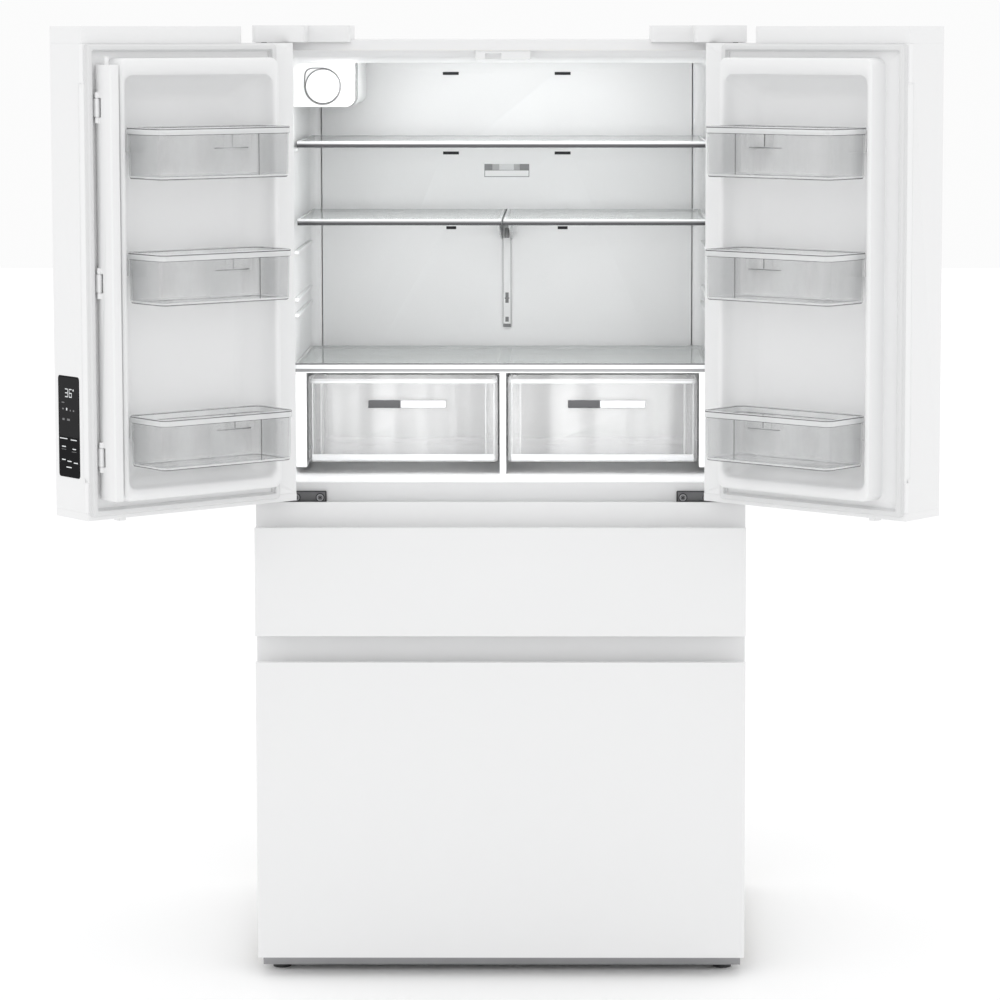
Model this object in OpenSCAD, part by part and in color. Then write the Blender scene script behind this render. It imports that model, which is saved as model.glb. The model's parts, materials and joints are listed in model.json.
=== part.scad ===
// French door refrigerator: two doors above, two drawers below.
// The doors stand open at their stops and the drawers are shut.
// X runs across the front, Y from the drawer fronts to the back, Z up from the floor.
// Modules work from the plane of the drawer fronts, and placed() moves them to the origin,
// which is on the floor under the middle of the whole object as it stands.

/* [Overall size] */
// Width over the cabinet sides
width = 908; // [820:1:1100]
// Height of the cabinet shell above the floor
cabinet_height = 1744; // [1700:1:2100]
// Depth of the cabinet from its front edges to the back sheet
depth = 630; // [600:1:780]
// Distance of the origin behind the drawer fronts
origin_y = 219; // [150:1:300]

/* [Doors] */
// Thickness of a door from its front to its inner plane
door_thickness = 108; // [90:1:135]
// Gap between the two doors, and from a door to the middle drawer
door_gap = 4; // [3:0.5:6]
// Angle at which the doors stand open
open_angle = 140; // [90:1:140]
// Distance of the hinge pin from the cabinet side
pin_in = 22; // [20:1:26]
// Distance of the hinge pin behind the door front
pin_back = 47; // [44:1:56]
// Radius of the hinge pins
pin_r = 5; // [4:0.5:6]
// Height of the cap along the top of a door
top_cap_h = 30; // [24:1:34]
// Height of the cap along the bottom of a door
bottom_cap_h = 14; // [12:1:20]
// Height of the ridge round the inside of a door
dike_h = 42; // [30:1:46]
// Width of that ridge
dike_w = 11; // [8:1:14]
// Depth of the hollow inside a door, below its inner plane
recess_depth = 26; // [16:1:34]
// Thickness of painted sheet
sheet_t = 1; // [0.8:0.1:1.6]

/* [Door bins] */
// Length of a door bin
bin_l = 283; // [240:1:290]
// Depth of a door bin from back to front
bin_d = 118; // [90:1:118]
// Height of a door bin
bin_h = 91; // [70:1:110]
// Wall of a door bin
bin_wall = 2.6; // [2:0.1:4]
// Height of the lowest bin above the door's bottom edge
low_bin_rise = 93; // [80:1:110]
// Height from the lowest bin to the middle one
low_bin_step = 290; // [250:1:320]
// Height from the middle bin to the top one
high_bin_step = 220; // [190:1:240]

/* [Mullion] */
// Width of the flip mullion's sealing face
mullion_w = 50; // [44:1:54]
// Thickness of the flip mullion
mullion_t = 18; // [14:1:20]

/* [Drawers] */
// Height of the freezer drawer front above the floor
toe_height = 38; // [34:1:60]
// Height of the freezer drawer front up to its lip
freezer_front_h = 558; // [500:1:670]
// Height of the middle drawer front up to its lip
middle_front_h = 202; // [190:1:250]
// Height of the grip recess above a drawer's lip
grip_h = 42; // [36:1:50]
// Depth of the grip recess behind the drawer front
grip_d = 40; // [34:1:48]
// Gap above a drawer
drawer_gap = 7; // [6.5:0.5:10]
// Thickness of the front lip of a grip
lip_t = 14; // [10:1:18]
// Travel of the two drawers
drawer_travel = 400; // [350:1:400]

/* [Cabinet walls] */
// Thickness of a side wall
side_wall = 58.5; // [48:0.5:72]
// Thickness of the back wall behind the fridge liner
back_wall = 90; // [75:1:110]
// Thickness of a vacuum-formed liner
liner_t = 1.5; // [1.2:0.1:2.5]
// Gap that a gasket closes between a door and the cabinet
seal_gap = 12; // [11:0.5:16]
// Set-back of the shelves from the cabinet front
shelf_setback = 120; // [112:1:140]

/* [Shelves and crispers] */
// Depth of the shelves
shelf_d = 400; // [330:1:410]
// Drop from the cabinet top to the top shelf
top_shelf_drop = 193; // [180:1:230]
// Drop from the top shelf to the half shelves
half_shelf_drop = 147; // [120:1:160]
// Thickness of shelf glass
glass_t = 4; // [3:0.5:5]
// Depth of a shelf's front rail
trim_h = 11; // [9:1:14]
// Gap between a shelf and a side wall
shelf_gap = 7; // [5:0.5:10]
// Height of the crisper cover above the liner floor
crisper_cover_rise = 193; // [170:1:220]
// Height of a crisper
crisper_h = 166; // [140:1:166]
// Travel of a crisper
crisper_travel = 340; // [280:1:340]

/* [Filter] */
// Radius of the water filter cap
filter_r = 32; // [26:1:34]
// Radius of the filter cartridge
cartridge_r = 24; // [20:1:25]

/* [Wheels and feet] */
// Radius of the rollers
roller_r = 18; // [14:1:18]
// Width of a roller
roller_w = 24; // [18:1:28]
// Radius of a levelling foot
foot_r = 17; // [14:1:20]

/* [Hidden] */
$fn = 48;
run_gap = 0.05;
slide_gap = 0.6;
seal_clear = 0.5;
half_w = width / 2;
inner_half = half_w - side_wall;
case_front = door_thickness + seal_gap;
case_back = case_front + depth;

freezer_lip = toe_height + freezer_front_h;
freezer_top = freezer_lip + grip_h;
middle_bottom = freezer_top + drawer_gap;
middle_lip = middle_bottom + middle_front_h;
middle_top = middle_lip + grip_h + 1;
door_bottom = middle_top + drawer_gap;
cap_line = cabinet_height - 6;
door_top = cap_line + top_cap_h;
door_body_bottom = door_bottom + bottom_cap_h;

fridge_floor = door_bottom + 21;
fridge_ceiling = cabinet_height - 44;
throat_top = cabinet_height - 21;
liner_back = case_back - back_wall;
duct_back = liner_back + 32;
fan_y = (liner_back + duct_back) / 2 + 1;
fan_z = fridge_floor + 330;
condenser_fan_x = 60;
shaft_r = 3;
valve_x = 330;
valve_z = 220;
inlet_r = 5.55;
duct_half = inner_half - 22.5;
throat_end = case_front + 40;
slope_end = case_front + 78;

middle_cavity = [middle_bottom + 30, middle_top - 35];
middle_back = liner_back - 20;
base_top = toe_height + 8;
freezer_cavity = [base_top + 49, freezer_top - 20];
freezer_back = case_back - 192;
machine_front = case_back - 150;
machine_top = 300;

hinge_x = -half_w + pin_in;
hinge_edge = -half_w;
free_edge = -door_gap / 2;
flange_t = 8;
skin_back = door_thickness - flange_t;
cap_notch = 107;
cap_r = 16;
plug_h = 24;

dike_hinge_x = hinge_edge + side_wall + 2.5;
dike_free_x = free_edge - 51;
dike_bottom = fridge_floor + 13;
dike_top = throat_top - 11;
recess_bottom = dike_bottom + 18;
recess_top = dike_top - 28;
recess_draft = 34;
gasket_w = 14;
gasket_in_x = hinge_edge + side_wall - 2;
gasket_free_x = free_edge - 4;
gasket_bottom = fridge_floor - gasket_w;
gasket_top = throat_top + gasket_w;

bin_x0 = (dike_hinge_x + dike_free_x - bin_l) / 2 - 1.5;
bin_y0 = door_thickness + 4;
bin_z = [door_bottom + low_bin_rise,
         door_bottom + low_bin_rise + low_bin_step,
         door_bottom + low_bin_rise + low_bin_step + high_bin_step];
bin_r = 14;

panel_w = 70;
panel_h = 181;
panel_front = 15;
panel_bottom = door_bottom + 73;
panel_t = 3;
top_fall = 8;
toe_y = case_front - 62;
scoop_r = 36;
scoop_depth = 3.5;
scoop_bottom = door_bottom + 75;
scoop_top = cap_line - 70;

mullion_pin = [free_edge - 23.5, case_front - 0.5];
mullion_x0 = free_edge - 31;
mullion_bottom = fridge_floor + 17;
mullion_top = throat_top - 22;
mullion_hinges = [mullion_bottom + 75, (mullion_bottom + mullion_top) / 2, mullion_top - 75];
knuckle_h = 16;
knuckle_r = 4.5;
mullion_pin_r = 2.5;

shelf_front = case_front + shelf_setback;
shelf_back = shelf_front + shelf_d;
shelf_half = inner_half - shelf_gap;
top_shelf_z = cabinet_height - top_shelf_drop;
half_shelf_z = top_shelf_z - half_shelf_drop;
crisper_cover_z = fridge_floor + crisper_cover_rise + 18;
crisper_bottom = fridge_floor + 24;
frame_in = 21.5;
crisper_gap = 6;
partition_half = 6;

filter_x = -inner_half + 56;
filter_z = fridge_ceiling - 44.5;
housing_right = 118;
housing_h = 83.5;
housing_front = shelf_front + 10;

slide_t = 4;
slide_h = 36;
tub_half = inner_half - 20;
middle_slide_z = middle_cavity[0] + 40;
freezer_slide_z = freezer_cavity[0] + 235;
slide_l = 430;

cover_w = 175;
arm_half = 96;
cover_top = door_top + 2;
cover_back = case_front + 116;
cover_wall = 2.5;

bracket_top = door_bottom + 4;
bracket_bottom = door_bottom - 16;
bracket_l = 125;
arm_z = middle_top + 1.5;
arm_t = 4;
screw_r = 7;

foot_x = half_w - 38;
foot_y = case_front - 32;
roller_x = half_w - 96;
front_roller_y = case_front + 10;
rear_roller_y = case_back - 60;
axle_r = 4;

paint = [0.95, 0.95, 0.95];
liner_white = [0.93, 0.94, 0.95];
seal_grey = [0.80, 0.81, 0.82];
clear_tint = [0.82, 0.86, 0.88];
steel_grey = [0.55, 0.56, 0.58];
dark_grey = [0.16, 0.16, 0.17];

// ---- helpers ----

// A box between two corners
module block(low, high) translate(low) cube(high - low);

// Moves a piece from the drawer-front frame to the origin
module placed() translate([0, -origin_y, 0]) children();

// The piece and its mirror image on the other side
module both_sides() {
  children();
  mirror([1, 0, 0]) children();
}

// A rectangle from low to high with its four corners rounded
module rounded(low, high, r) {
  translate([low[0] + r, low[1]]) square([high[0] - low[0] - 2 * r, high[1] - low[1]]);
  translate([low[0], low[1] + r]) square([high[0] - low[0], high[1] - low[1] - 2 * r]);
  for (x = [low[0] + r, high[0] - r], y = [low[1] + r, high[1] - r])
    translate([x, y]) circle(r = r);
}

// A slab with a rounded outline seen from above
module upright(low, high, r)
  translate([0, 0, low[2]]) linear_extrude(high[2] - low[2])
    rounded([low[0], low[1]], [high[0], high[1]], r);

// A slab with a rounded outline seen from the front
module facing(low, high, r)
  translate([0, high[1], 0]) rotate([90, 0, 0]) linear_extrude(high[1] - low[1])
    rounded([low[0], low[2]], [high[0], high[2]], r);

// An open-topped tub with a rim
module tub(low, high, r, wall, rim) {
  difference() {
    union() {
      upright(low, high, r);
      if (rim > 0)
        upright([low[0] - rim, low[1] - rim, high[2] - 6], [high[0] + rim, high[1] + rim, high[2]],
                r + rim);
    }
    upright([low[0] + wall, low[1] + wall, low[2] + wall],
            [high[0] - wall, high[1] - wall, high[2] + 1], r - wall);
  }
}

// A closed rectangular ring facing the cabinet, with a narrower bulb on its foot
module seal_ring(low, high, y) {
  foot = 4;
  difference() {
    block([low[0], y, low[1]], [high[0], y + foot, high[1]]);
    block([low[0] + gasket_w, y - 1, low[1] + gasket_w],
          [high[0] - gasket_w, y + foot + 1, high[1] - gasket_w]);
  }
  difference() {
    facing([low[0] + 2, y + foot, low[1] + 2],
           [high[0] - 2, y + seal_gap - seal_clear, high[1] - 2], 4);
    block([low[0] + gasket_w - 3, y, low[1] + gasket_w - 3],
          [high[0] - gasket_w + 3, y + seal_gap + 1, high[1] - gasket_w + 3]);
  }
}

// Swings a piece drawn in the left door's shut place out to where the door stands
module swung()
  translate([hinge_x, pin_back, 0]) rotate([0, 0, -open_angle]) translate([-hinge_x, -pin_back, 0])
    children();

// ---- cabinet ----

module cabinet_shell() color(paint) placed() difference() {
  block([-half_w, case_front, base_top], [half_w, case_back - sheet_t, cabinet_height]);
  block([-half_w + sheet_t, case_front + sheet_t, base_top - 1],
        [half_w - sheet_t, case_back + 1, cabinet_height - sheet_t]);
  block([-inner_half - liner_t, case_front - 1, base_top - 1],
        [inner_half + liner_t, case_front + 2, throat_top + liner_t]);
}

module back_panel() color(paint) placed()
  block([-half_w, case_back - sheet_t, machine_top], [half_w, case_back, cabinet_height]);

// Foam slabs between the shell and the liners
module cabinet_foam() color([0.93, 0.88, 0.70]) placed() {
  x = inner_half + liner_t;
  front = case_front + sheet_t;
  back = case_back - sheet_t;
  rail_back = case_front + 25;
  roof = cabinet_height - sheet_t;
  both_sides() block([x, front, base_top], [half_w - sheet_t, back, roof]);
  block([-x, slope_end + 8, fridge_ceiling + liner_t], [x, back, roof]);
  block([-x, front, throat_top + liner_t], [x, slope_end + 8, roof]);
  block([-x, duct_back + liner_t, fridge_floor], [x, back, fridge_ceiling + liner_t]);
  block([-x, rail_back, middle_cavity[1] + liner_t], [x, back, fridge_floor - liner_t]);
  block([-x, middle_back + liner_t, middle_cavity[0]], [x, back, middle_cavity[1] + liner_t]);
  block([-x, rail_back, freezer_cavity[1] + liner_t], [x, back, middle_cavity[0] - liner_t]);
  block([-x, freezer_back + liner_t, machine_top + 2], [x, back, freezer_cavity[1] + liner_t]);
  block([-x, freezer_back + liner_t, base_top], [x, machine_front, machine_top + 2]);
  block([-x, rail_back, base_top], [x, freezer_back + liner_t, freezer_cavity[0] - liner_t]);
}

// The fridge cavity: a throat at the front, a sloped step in the ceiling and a duct recess behind
module fridge_cavity(grow) {
  x = inner_half + grow;
  block([-x, case_front - 1, fridge_floor - grow], [x, throat_end + grow, throat_top + grow]);
  block([-x, case_front, fridge_floor - grow], [x, liner_back + grow, fridge_ceiling + grow]);
  translate([-x, 0, 0]) rotate([90, 0, 90]) linear_extrude(2 * x)
    polygon([[throat_end, fridge_ceiling], [slope_end + grow, fridge_ceiling],
             [slope_end + grow, fridge_ceiling + grow], [throat_end + grow, throat_top + grow],
             [throat_end, throat_top + grow]]);
  block([-duct_half - grow, liner_back - 1, fridge_floor + 10 - grow],
        [duct_half + grow, duct_back + grow, fridge_ceiling + grow]);
}

// One moulded ledge along a side wall
module shelf_rest(z, length)
  both_sides() block([inner_half - 8, shelf_front + 12, z - 7],
                     [inner_half + 0.5, shelf_front + 12 + length, z]);

module fridge_liner() color(liner_white) placed() {
  difference() {
    intersection() {
      fridge_cavity(liner_t);
      block([-half_w, case_front, 0], [half_w, case_back, cabinet_height]);
    }
    fridge_cavity(0);
  }
  shelf_rest(top_shelf_z - trim_h, shelf_d - 30);
  shelf_rest(half_shelf_z - trim_h, shelf_d - 30);
  shelf_rest(crisper_cover_z + 125, shelf_d - 30);
  shelf_rest(crisper_cover_z + 95, shelf_d - 30);
}

// An open-fronted box liner
module box_liner(cavity, back) difference() {
  block([-inner_half - liner_t, case_front, cavity[0] - liner_t],
        [inner_half + liner_t, back + liner_t, cavity[1] + liner_t]);
  block([-inner_half, case_front - 1, cavity[0]], [inner_half, back, cavity[1]]);
}

module drawer_liners() color(liner_white) placed() {
  box_liner(middle_cavity, middle_back);
  box_liner(freezer_cavity, freezer_back);
}

// A channel across the front with its open side to the back
module cross_rail(bottom, top) difference() {
  block([-inner_half - liner_t, case_front, bottom], [inner_half + liner_t, case_front + 25, top]);
  block([-inner_half, case_front + 1.5, bottom + 1.5],
        [inner_half, case_front + 26, top - 1.5]);
}

module front_rails() color(paint) placed() {
  cross_rail(middle_cavity[1] + liner_t, fridge_floor - liner_t);
  cross_rail(freezer_cavity[1] + liner_t, middle_cavity[0] - liner_t);
  cross_rail(base_top, freezer_cavity[0] - liner_t);
}

// Ears that hold one axle, and the axle between them
module axle_carrier(y, z) {
  for (x = [roller_x - roller_w / 2 - 6, roller_x + roller_w / 2 + 2])
    block([x, y - 14, z - 6], [x + 4, y + 14, base_top - 6]);
  translate([roller_x - roller_w / 2 - 6, y, z]) rotate([0, 90, 0])
    cylinder(r = axle_r, h = roller_w + 12);
}

module base_frame() color(dark_grey) placed() {
  block([-half_w + 8, case_front + 2, base_top - 6], [half_w - 8, case_back - 5, base_top]);
  block([-half_w + 5, toe_y, 10], [half_w - 5, toe_y + 3, base_top - 10]);
  both_sides() {
    difference() {
      block([roller_x - 20, toe_y, base_top - 14], [foot_x + 20, case_front + 2, base_top - 10]);
      block([roller_x - roller_w / 2 - 1, foot_y - 21, base_top - 15],
            [roller_x + roller_w / 2 + 1, case_front + 9, base_top - 5]);
    }
    block([foot_x - 18, case_front + 2, base_top - 14], [foot_x + 20, case_front + 60, base_top - 6]);
    axle_carrier(front_roller_y, roller_r + 1);
    axle_carrier(rear_roller_y, roller_r);
  }
}

module machine_cover() color([0.72, 0.73, 0.74]) placed() difference() {
  block([-half_w + 12, case_back - sheet_t, base_top + 4], [half_w - 12, case_back, machine_top - 4]);
  for (row = [0:5], column = [-6:6])
    block([column * 42 - 15, case_back - 3, base_top + 60 + row * 22],
          [column * 42 + 15, case_back + 1, base_top + 66 + row * 22]);
  translate([-330, case_back - 3, 150]) rotate([-90, 0, 0]) cylinder(r = 22, h = 5);
  translate([valve_x, case_back - 3, valve_z]) rotate([-90, 0, 0]) cylinder(r = 20, h = 5);
}

// The panel that spreads cold air, with a pair of slots in each of three rows
module air_duct_panel() color(liner_white) placed() {
  x = duct_half - 2;
  face = liner_back - 5;
  bottom = fridge_floor + 12;
  difference() {
    block([-x, face, bottom], [x, face + 3, fridge_ceiling - 2]);
    for (side = [-1, 1]) {
      for (z = [fridge_ceiling - 25, fridge_ceiling - 184])
        block([side * 112 - 16, face - 1, z - 3], [side * 112 + 16, face + 4, z + 3]);
      block([side * 112 - 10, face - 1, fridge_ceiling - 337],
            [side * 112 + 10, face + 4, fridge_ceiling - 331]);
    }
  }
  both_sides() block([x - 2, face + 3, bottom], [x, duct_back, fridge_ceiling - 2]);
  translate([0, fan_y - 10, fan_z]) rotate([90, 0, 0]) cylinder(r = 14, h = fan_y - 12 - face);
  translate([0, fan_y + 10, fan_z]) rotate([90, 0, 0]) cylinder(r = shaft_r, h = 22);
}

module mullion_guide() color(paint) placed() difference() {
  block([-47, case_front + 3, throat_top - 16], [55, throat_end - 2, throat_top]);
  block([-29, case_front + 2, throat_top - 17], [1, throat_end - 14, throat_top - 5]);
}

module filter_housing() color(paint) placed() difference() {
  left = -inner_half;
  right = left + housing_right;
  low = fridge_ceiling - housing_h;
  r = 19;
  union() {
    block([left, housing_front, low], [right - r, liner_back - 60, fridge_ceiling]);
    block([left, housing_front, low + r], [right, liner_back - 60, fridge_ceiling]);
    translate([right - r, liner_back - 60, low + r]) rotate([90, 0, 0])
      cylinder(r = r, h = liner_back - 60 - housing_front);
  }
  translate([filter_x, liner_back - 70, filter_z]) rotate([90, 0, 0])
    cylinder(r = cartridge_r + 1, h = liner_back);
  translate([filter_x, housing_front + 12, filter_z]) rotate([90, 0, 0])
    cylinder(r = filter_r + 1, h = 20);
}

// ---- shelves ----

module shelf_ladder() color([0.86, 0.87, 0.88]) placed() {
  face = liner_back - 5;
  top = half_shelf_z;
  difference() {
    block([-8, face - 5, top - 240], [8, face, top]);
    for (z = [top - 8 : -24 : top - 232])
      block([-3, face - 6, z - 12], [3, face - 2, z]);
  }
}

// Glass with its front edge in the rail
module shelf_glass(low_x, high_x, z)
  block([low_x + 5, shelf_front + 6, z - glass_t], [high_x - 5, shelf_back - 8, z]);

// A front rail, two side runners and a back rail round one sheet of glass
module shelf_trim(low_x, high_x, z) difference() {
  block([low_x, shelf_front, z - trim_h], [high_x, shelf_back, z + 1]);
  block([low_x + 9, shelf_front + 14, z - trim_h - 1], [high_x - 9, shelf_back - 16, z + 2]);
  block([low_x + 5, shelf_front + 6, z - glass_t], [high_x - 5, shelf_back - 8, z + 2]);
}

module top_shelf_glass() color(clear_tint) placed() shelf_glass(-shelf_half, shelf_half, top_shelf_z);
module top_shelf_trim() color(steel_grey) placed() shelf_trim(-shelf_half, shelf_half, top_shelf_z);
module half_shelf_glass() color(clear_tint) placed()
  both_sides() shelf_glass(2, shelf_half, half_shelf_z);

// Each half shelf hangs on the ladder by an arm under its inner edge
module half_shelf_trims() color(steel_grey) placed() both_sides() {
  shelf_trim(2, shelf_half, half_shelf_z);
  difference() {
    translate([9, 0, 0]) rotate([90, 0, 90]) linear_extrude(3)
      polygon([[shelf_front + 60, half_shelf_z - trim_h], [liner_back - 5.5, half_shelf_z - trim_h],
               [liner_back - 5.5, half_shelf_z - 60], [liner_back - 25, half_shelf_z - 60]]);
  }
}

module crisper_cover_glass() color(clear_tint) placed()
  block([-inner_half + 6, shelf_front + 6, crisper_cover_z - glass_t],
        [inner_half - 6, shelf_back - 8, crisper_cover_z]);

module crisper_cover_trim() color(steel_grey) placed() difference() {
  x = inner_half - 1;
  low = crisper_cover_z - 17;
  block([-x, shelf_front, low], [x, shelf_back, crisper_cover_z + 1]);
  for (side = [-1, 1])
    translate([side * inner_half / 2, 0, 0])
      block([-inner_half / 2 + 10, shelf_front + 14, low - 1],
            [inner_half / 2 - 10, shelf_back - 16, crisper_cover_z + 2]);
  block([-inner_half + 6, shelf_front + 6, crisper_cover_z - glass_t],
        [inner_half - 6, shelf_back - 8, crisper_cover_z + 2]);
}

// Side boards that carry the cover and the partition between the crispers
module crisper_frames() color(paint) placed() {
  low = fridge_floor + 13;
  top = crisper_cover_z - 17;
  both_sides() {
    block([inner_half - frame_in, shelf_front + 1, low], [inner_half - 0.5, shelf_front + 16, top]);
    block([inner_half - 10, shelf_front + 16, low], [inner_half - 0.5, shelf_back, top]);
    block([inner_half - frame_in, shelf_front + 16, top - 8], [inner_half - 10, shelf_back, top]);
    block([inner_half - frame_in, shelf_front + 16, low], [inner_half - 10, shelf_back, low + 8]);
  }
  block([-partition_half, shelf_front + 1, fridge_floor], [partition_half, shelf_back, top]);
}

// A crisper on the left: clear tub with a taller front and a finger lip under it
module crisper_tub() {
  left = -inner_half + frame_in + crisper_gap;
  right = -partition_half - crisper_gap;
  back = shelf_back - 20;
  top = crisper_bottom + crisper_h;
  tub([left, shelf_front + 5, crisper_bottom], [right, back, top - 8], 10, 2.8, 0);
  difference() {
    facing([left - 2, shelf_front, crisper_bottom], [right + 2, shelf_front + 6, top], 6);
    block([left + 3, shelf_front + 3, crisper_bottom + 12], [right - 3, shelf_front + 7, top - 10]);
  }
}

module left_crisper() color(clear_tint) placed() crisper_tub();
module right_crisper() color(clear_tint) placed() mirror([1, 0, 0]) crisper_tub();

// ---- hinges ----

// Outline of one top hinge cover, grown inwards by a wall
module cover_outline(wall) {
  left = -half_w + 2 + wall;
  rounded([left, case_front - 10 + wall], [-half_w + 2 + cover_w - wall, cover_back - wall], 9 - wall);
  rounded([left, 20 + wall], [-half_w + 2 + arm_half - wall, cover_back - wall], 9 - wall);
}

module hinge_covers() color(paint) placed() both_sides() difference() {
  union() {
    translate([0, 0, cabinet_height]) linear_extrude(cover_top - cabinet_height) cover_outline(0);
    translate([0, 0, cap_line + 1]) linear_extrude(cabinet_height - cap_line)
      intersection() {
        cover_outline(0);
        translate([-half_w, 0]) square([cover_w + 2, case_front - seal_clear]);
      }
  }
  translate([0, 0, cap_line]) linear_extrude(cover_top - cover_wall - cap_line)
    cover_outline(cover_wall);
}

// Top hinge: a plate on the cabinet roof, an arm to the front and a pin pointing down
module top_hinge() {
  translate([0, 0, cabinet_height]) linear_extrude(arm_t) {
    translate([-half_w + 7, case_front + 16]) square([150, 84]);
    translate([-half_w + 8, pin_back]) square([28, case_front - pin_back + 20]);
    translate([hinge_x, pin_back]) circle(r = 14);
  }
  translate([hinge_x, pin_back, cap_line - plug_h + 6]) cylinder(r = pin_r, h = cabinet_height + 1 - cap_line + plug_h - 6);
}

// Centre hinge: a plate on the front rail, an arm to the front and a pin pointing up
module centre_hinge() {
  block([-half_w + 2, case_front - 5, bracket_bottom],
        [-half_w + bracket_l, case_front - 0.4, bracket_top]);
  translate([0, 0, arm_z]) linear_extrude(arm_t) {
    translate([-half_w + 8, pin_back]) square([28, case_front - 3 - pin_back]);
    translate([-half_w + 8, case_front - 12]) square([40, 9]);
    translate([hinge_x, pin_back]) circle(r = 14);
  }
  translate([hinge_x, pin_back, arm_z + 1]) cylinder(r = pin_r, h = bottom_cap_h);
}

module door_hinges() color(steel_grey) placed() both_sides() {
  top_hinge();
  centre_hinge();
}

// A cross-head screw pointing along +Y with its head at y = 0
module screw(r) difference() {
  translate([0, 3, 0]) rotate([90, 0, 0]) cylinder(r = r, h = 3);
  for (turn = [45, 135])
    rotate([0, turn, 0]) translate([-r * 0.45, -1, -0.8]) cube([r * 0.9, 2.4, 1.6]);
}

module hinge_screws() color([0.62, 0.63, 0.65]) placed() both_sides() {
  for (x = [-half_w + 69, -half_w + 114])
    translate([x, case_front - 8, door_bottom - 7.5]) screw(screw_r);
  for (x = [-half_w + 60, -half_w + 130])
    translate([x, case_front + 60, cabinet_height + arm_t + 3]) rotate([-90, 0, 0]) screw(6);
}

// ---- doors ----

// Plan of a door between two depths, with its front corners rounded
module door_plan(inset, back) {
  r = 5 - inset;
  left = hinge_edge + inset;
  right = free_edge - inset;
  translate([left + r, inset]) square([right - left - 2 * r, back - inset]);
  translate([left, inset + r]) square([right - left, back - inset - r]);
  for (x = [left + r, right - r]) translate([x, inset + r]) circle(r = r);
}

// The finger scoop along the free edge
module scoop()
  translate([free_edge - scoop_depth + scoop_r, door_thickness, scoop_bottom])
    cylinder(r = scoop_r, h = scoop_top - scoop_bottom, $fn = 96);

// The pocket that the control panel fills
module panel_space()
  translate([free_edge - panel_t, 0, 0]) rotate([90, 0, 90]) linear_extrude(panel_t + 1)
    rounded([panel_front, panel_bottom], [panel_front + panel_w, panel_bottom + panel_h], 6);

module door_skin() difference() {
  translate([0, 0, door_body_bottom]) linear_extrude(cap_line - door_body_bottom) difference() {
    door_plan(0, skin_back);
    door_plan(sheet_t, skin_back + 1);
  }
  scoop();
}

// The hollow inside the ridge, drafted towards its floor
module door_recess() {
  left = dike_hinge_x + dike_w;
  right = dike_free_x - dike_w;
  floor_y = door_thickness - recess_depth;
  hull() {
    translate([0, door_thickness + dike_h + 1, 0]) rotate([90, 0, 0]) linear_extrude(1)
      rounded([left, recess_bottom], [right, recess_top], 16, $fn = 32);
    translate([0, floor_y + 1, 0]) rotate([90, 0, 0]) linear_extrude(1)
      rounded([left + recess_draft, recess_bottom + recess_draft],
              [right - recess_draft, recess_top - recess_draft], 12, $fn = 32);
  }
}

// Bosses behind one bin that its back wall hangs on
module bin_boss(z) for (x = [bin_x0 + 30, bin_x0 + bin_l - 66])
  block([x, door_thickness - recess_depth - 1, z + 44], [x + 36, bin_y0 - 0.4, z + bin_h - 8]);

// Foamed inner half of a door: core, edge flange, ridge and hollow
module door_liner() {
  difference() {
    union() {
      translate([0, 0, door_body_bottom]) linear_extrude(cap_line - plug_h - door_body_bottom)
        door_plan(sheet_t, skin_back);
      block([hinge_edge, skin_back, door_body_bottom], [free_edge, door_thickness, cap_line]);
      facing([dike_hinge_x, door_thickness - 1, dike_bottom],
             [dike_free_x, door_thickness + dike_h, dike_top], 16);
    }
    door_recess();
    scoop();
  }
  for (z = bin_z) bin_boss(z);
}

module door_caps() {
  difference() {
    union() {
      translate([0, 0, cap_line - plug_h]) linear_extrude(plug_h) door_plan(sheet_t, skin_back);
      translate([0, 0, cap_line]) linear_extrude(top_cap_h) intersection() {
        door_plan(0, door_thickness);
        rounded([hinge_edge + cap_notch, -40], [40, door_thickness], cap_r);
      }
    }
    translate([hinge_x, pin_back, cap_line - plug_h + 4]) cylinder(r = pin_r + run_gap, h = plug_h);
  }
  difference() {
    translate([0, 0, door_bottom]) linear_extrude(bottom_cap_h) door_plan(0, door_thickness);
    translate([hinge_x, pin_back, door_bottom - 1]) cylinder(r = pin_r + run_gap, h = bottom_cap_h - 1);
  }
  block([free_edge - 82, door_thickness - 22, door_bottom - 5.5],
        [free_edge - 68, door_thickness - 4, door_bottom]);
}

module door_gasket()
  seal_ring([gasket_in_x - gasket_w, gasket_bottom], [gasket_free_x, gasket_top], door_thickness);

module door_bins() for (z = bin_z)
  tub([bin_x0, bin_y0, z], [bin_x0 + bin_l, bin_y0 + bin_d, z + bin_h], bin_r, bin_wall, 0);

module left_door_skin() color(paint) placed() swung() difference() {
  door_skin();
  panel_space();
}
module left_door_liner() color(liner_white) placed() swung() difference() {
  door_liner();
  panel_space();
}
module left_door_gasket() color(seal_grey) placed() swung() door_gasket();
module left_door_caps() color(paint) placed() swung() door_caps();
module left_door_bins() color(clear_tint) placed() swung() door_bins();

module control_panel() color([0.05, 0.05, 0.06]) placed() swung() intersection() {
  panel_space();
  block([free_edge - panel_t, 0, 0], [free_edge, door_thickness, door_top]);
}

module right_door_skin() color(paint) placed() mirror([1, 0, 0]) swung() door_skin();
module right_door_liner() color(liner_white) placed() mirror([1, 0, 0]) swung() door_liner();
module right_door_gasket() color(seal_grey) placed() mirror([1, 0, 0]) swung() door_gasket();
module right_door_caps() color(paint) placed() mirror([1, 0, 0]) swung() door_caps();
module right_door_bins() color(clear_tint) placed() mirror([1, 0, 0]) swung() door_bins();

// ---- flip mullion ----

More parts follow.
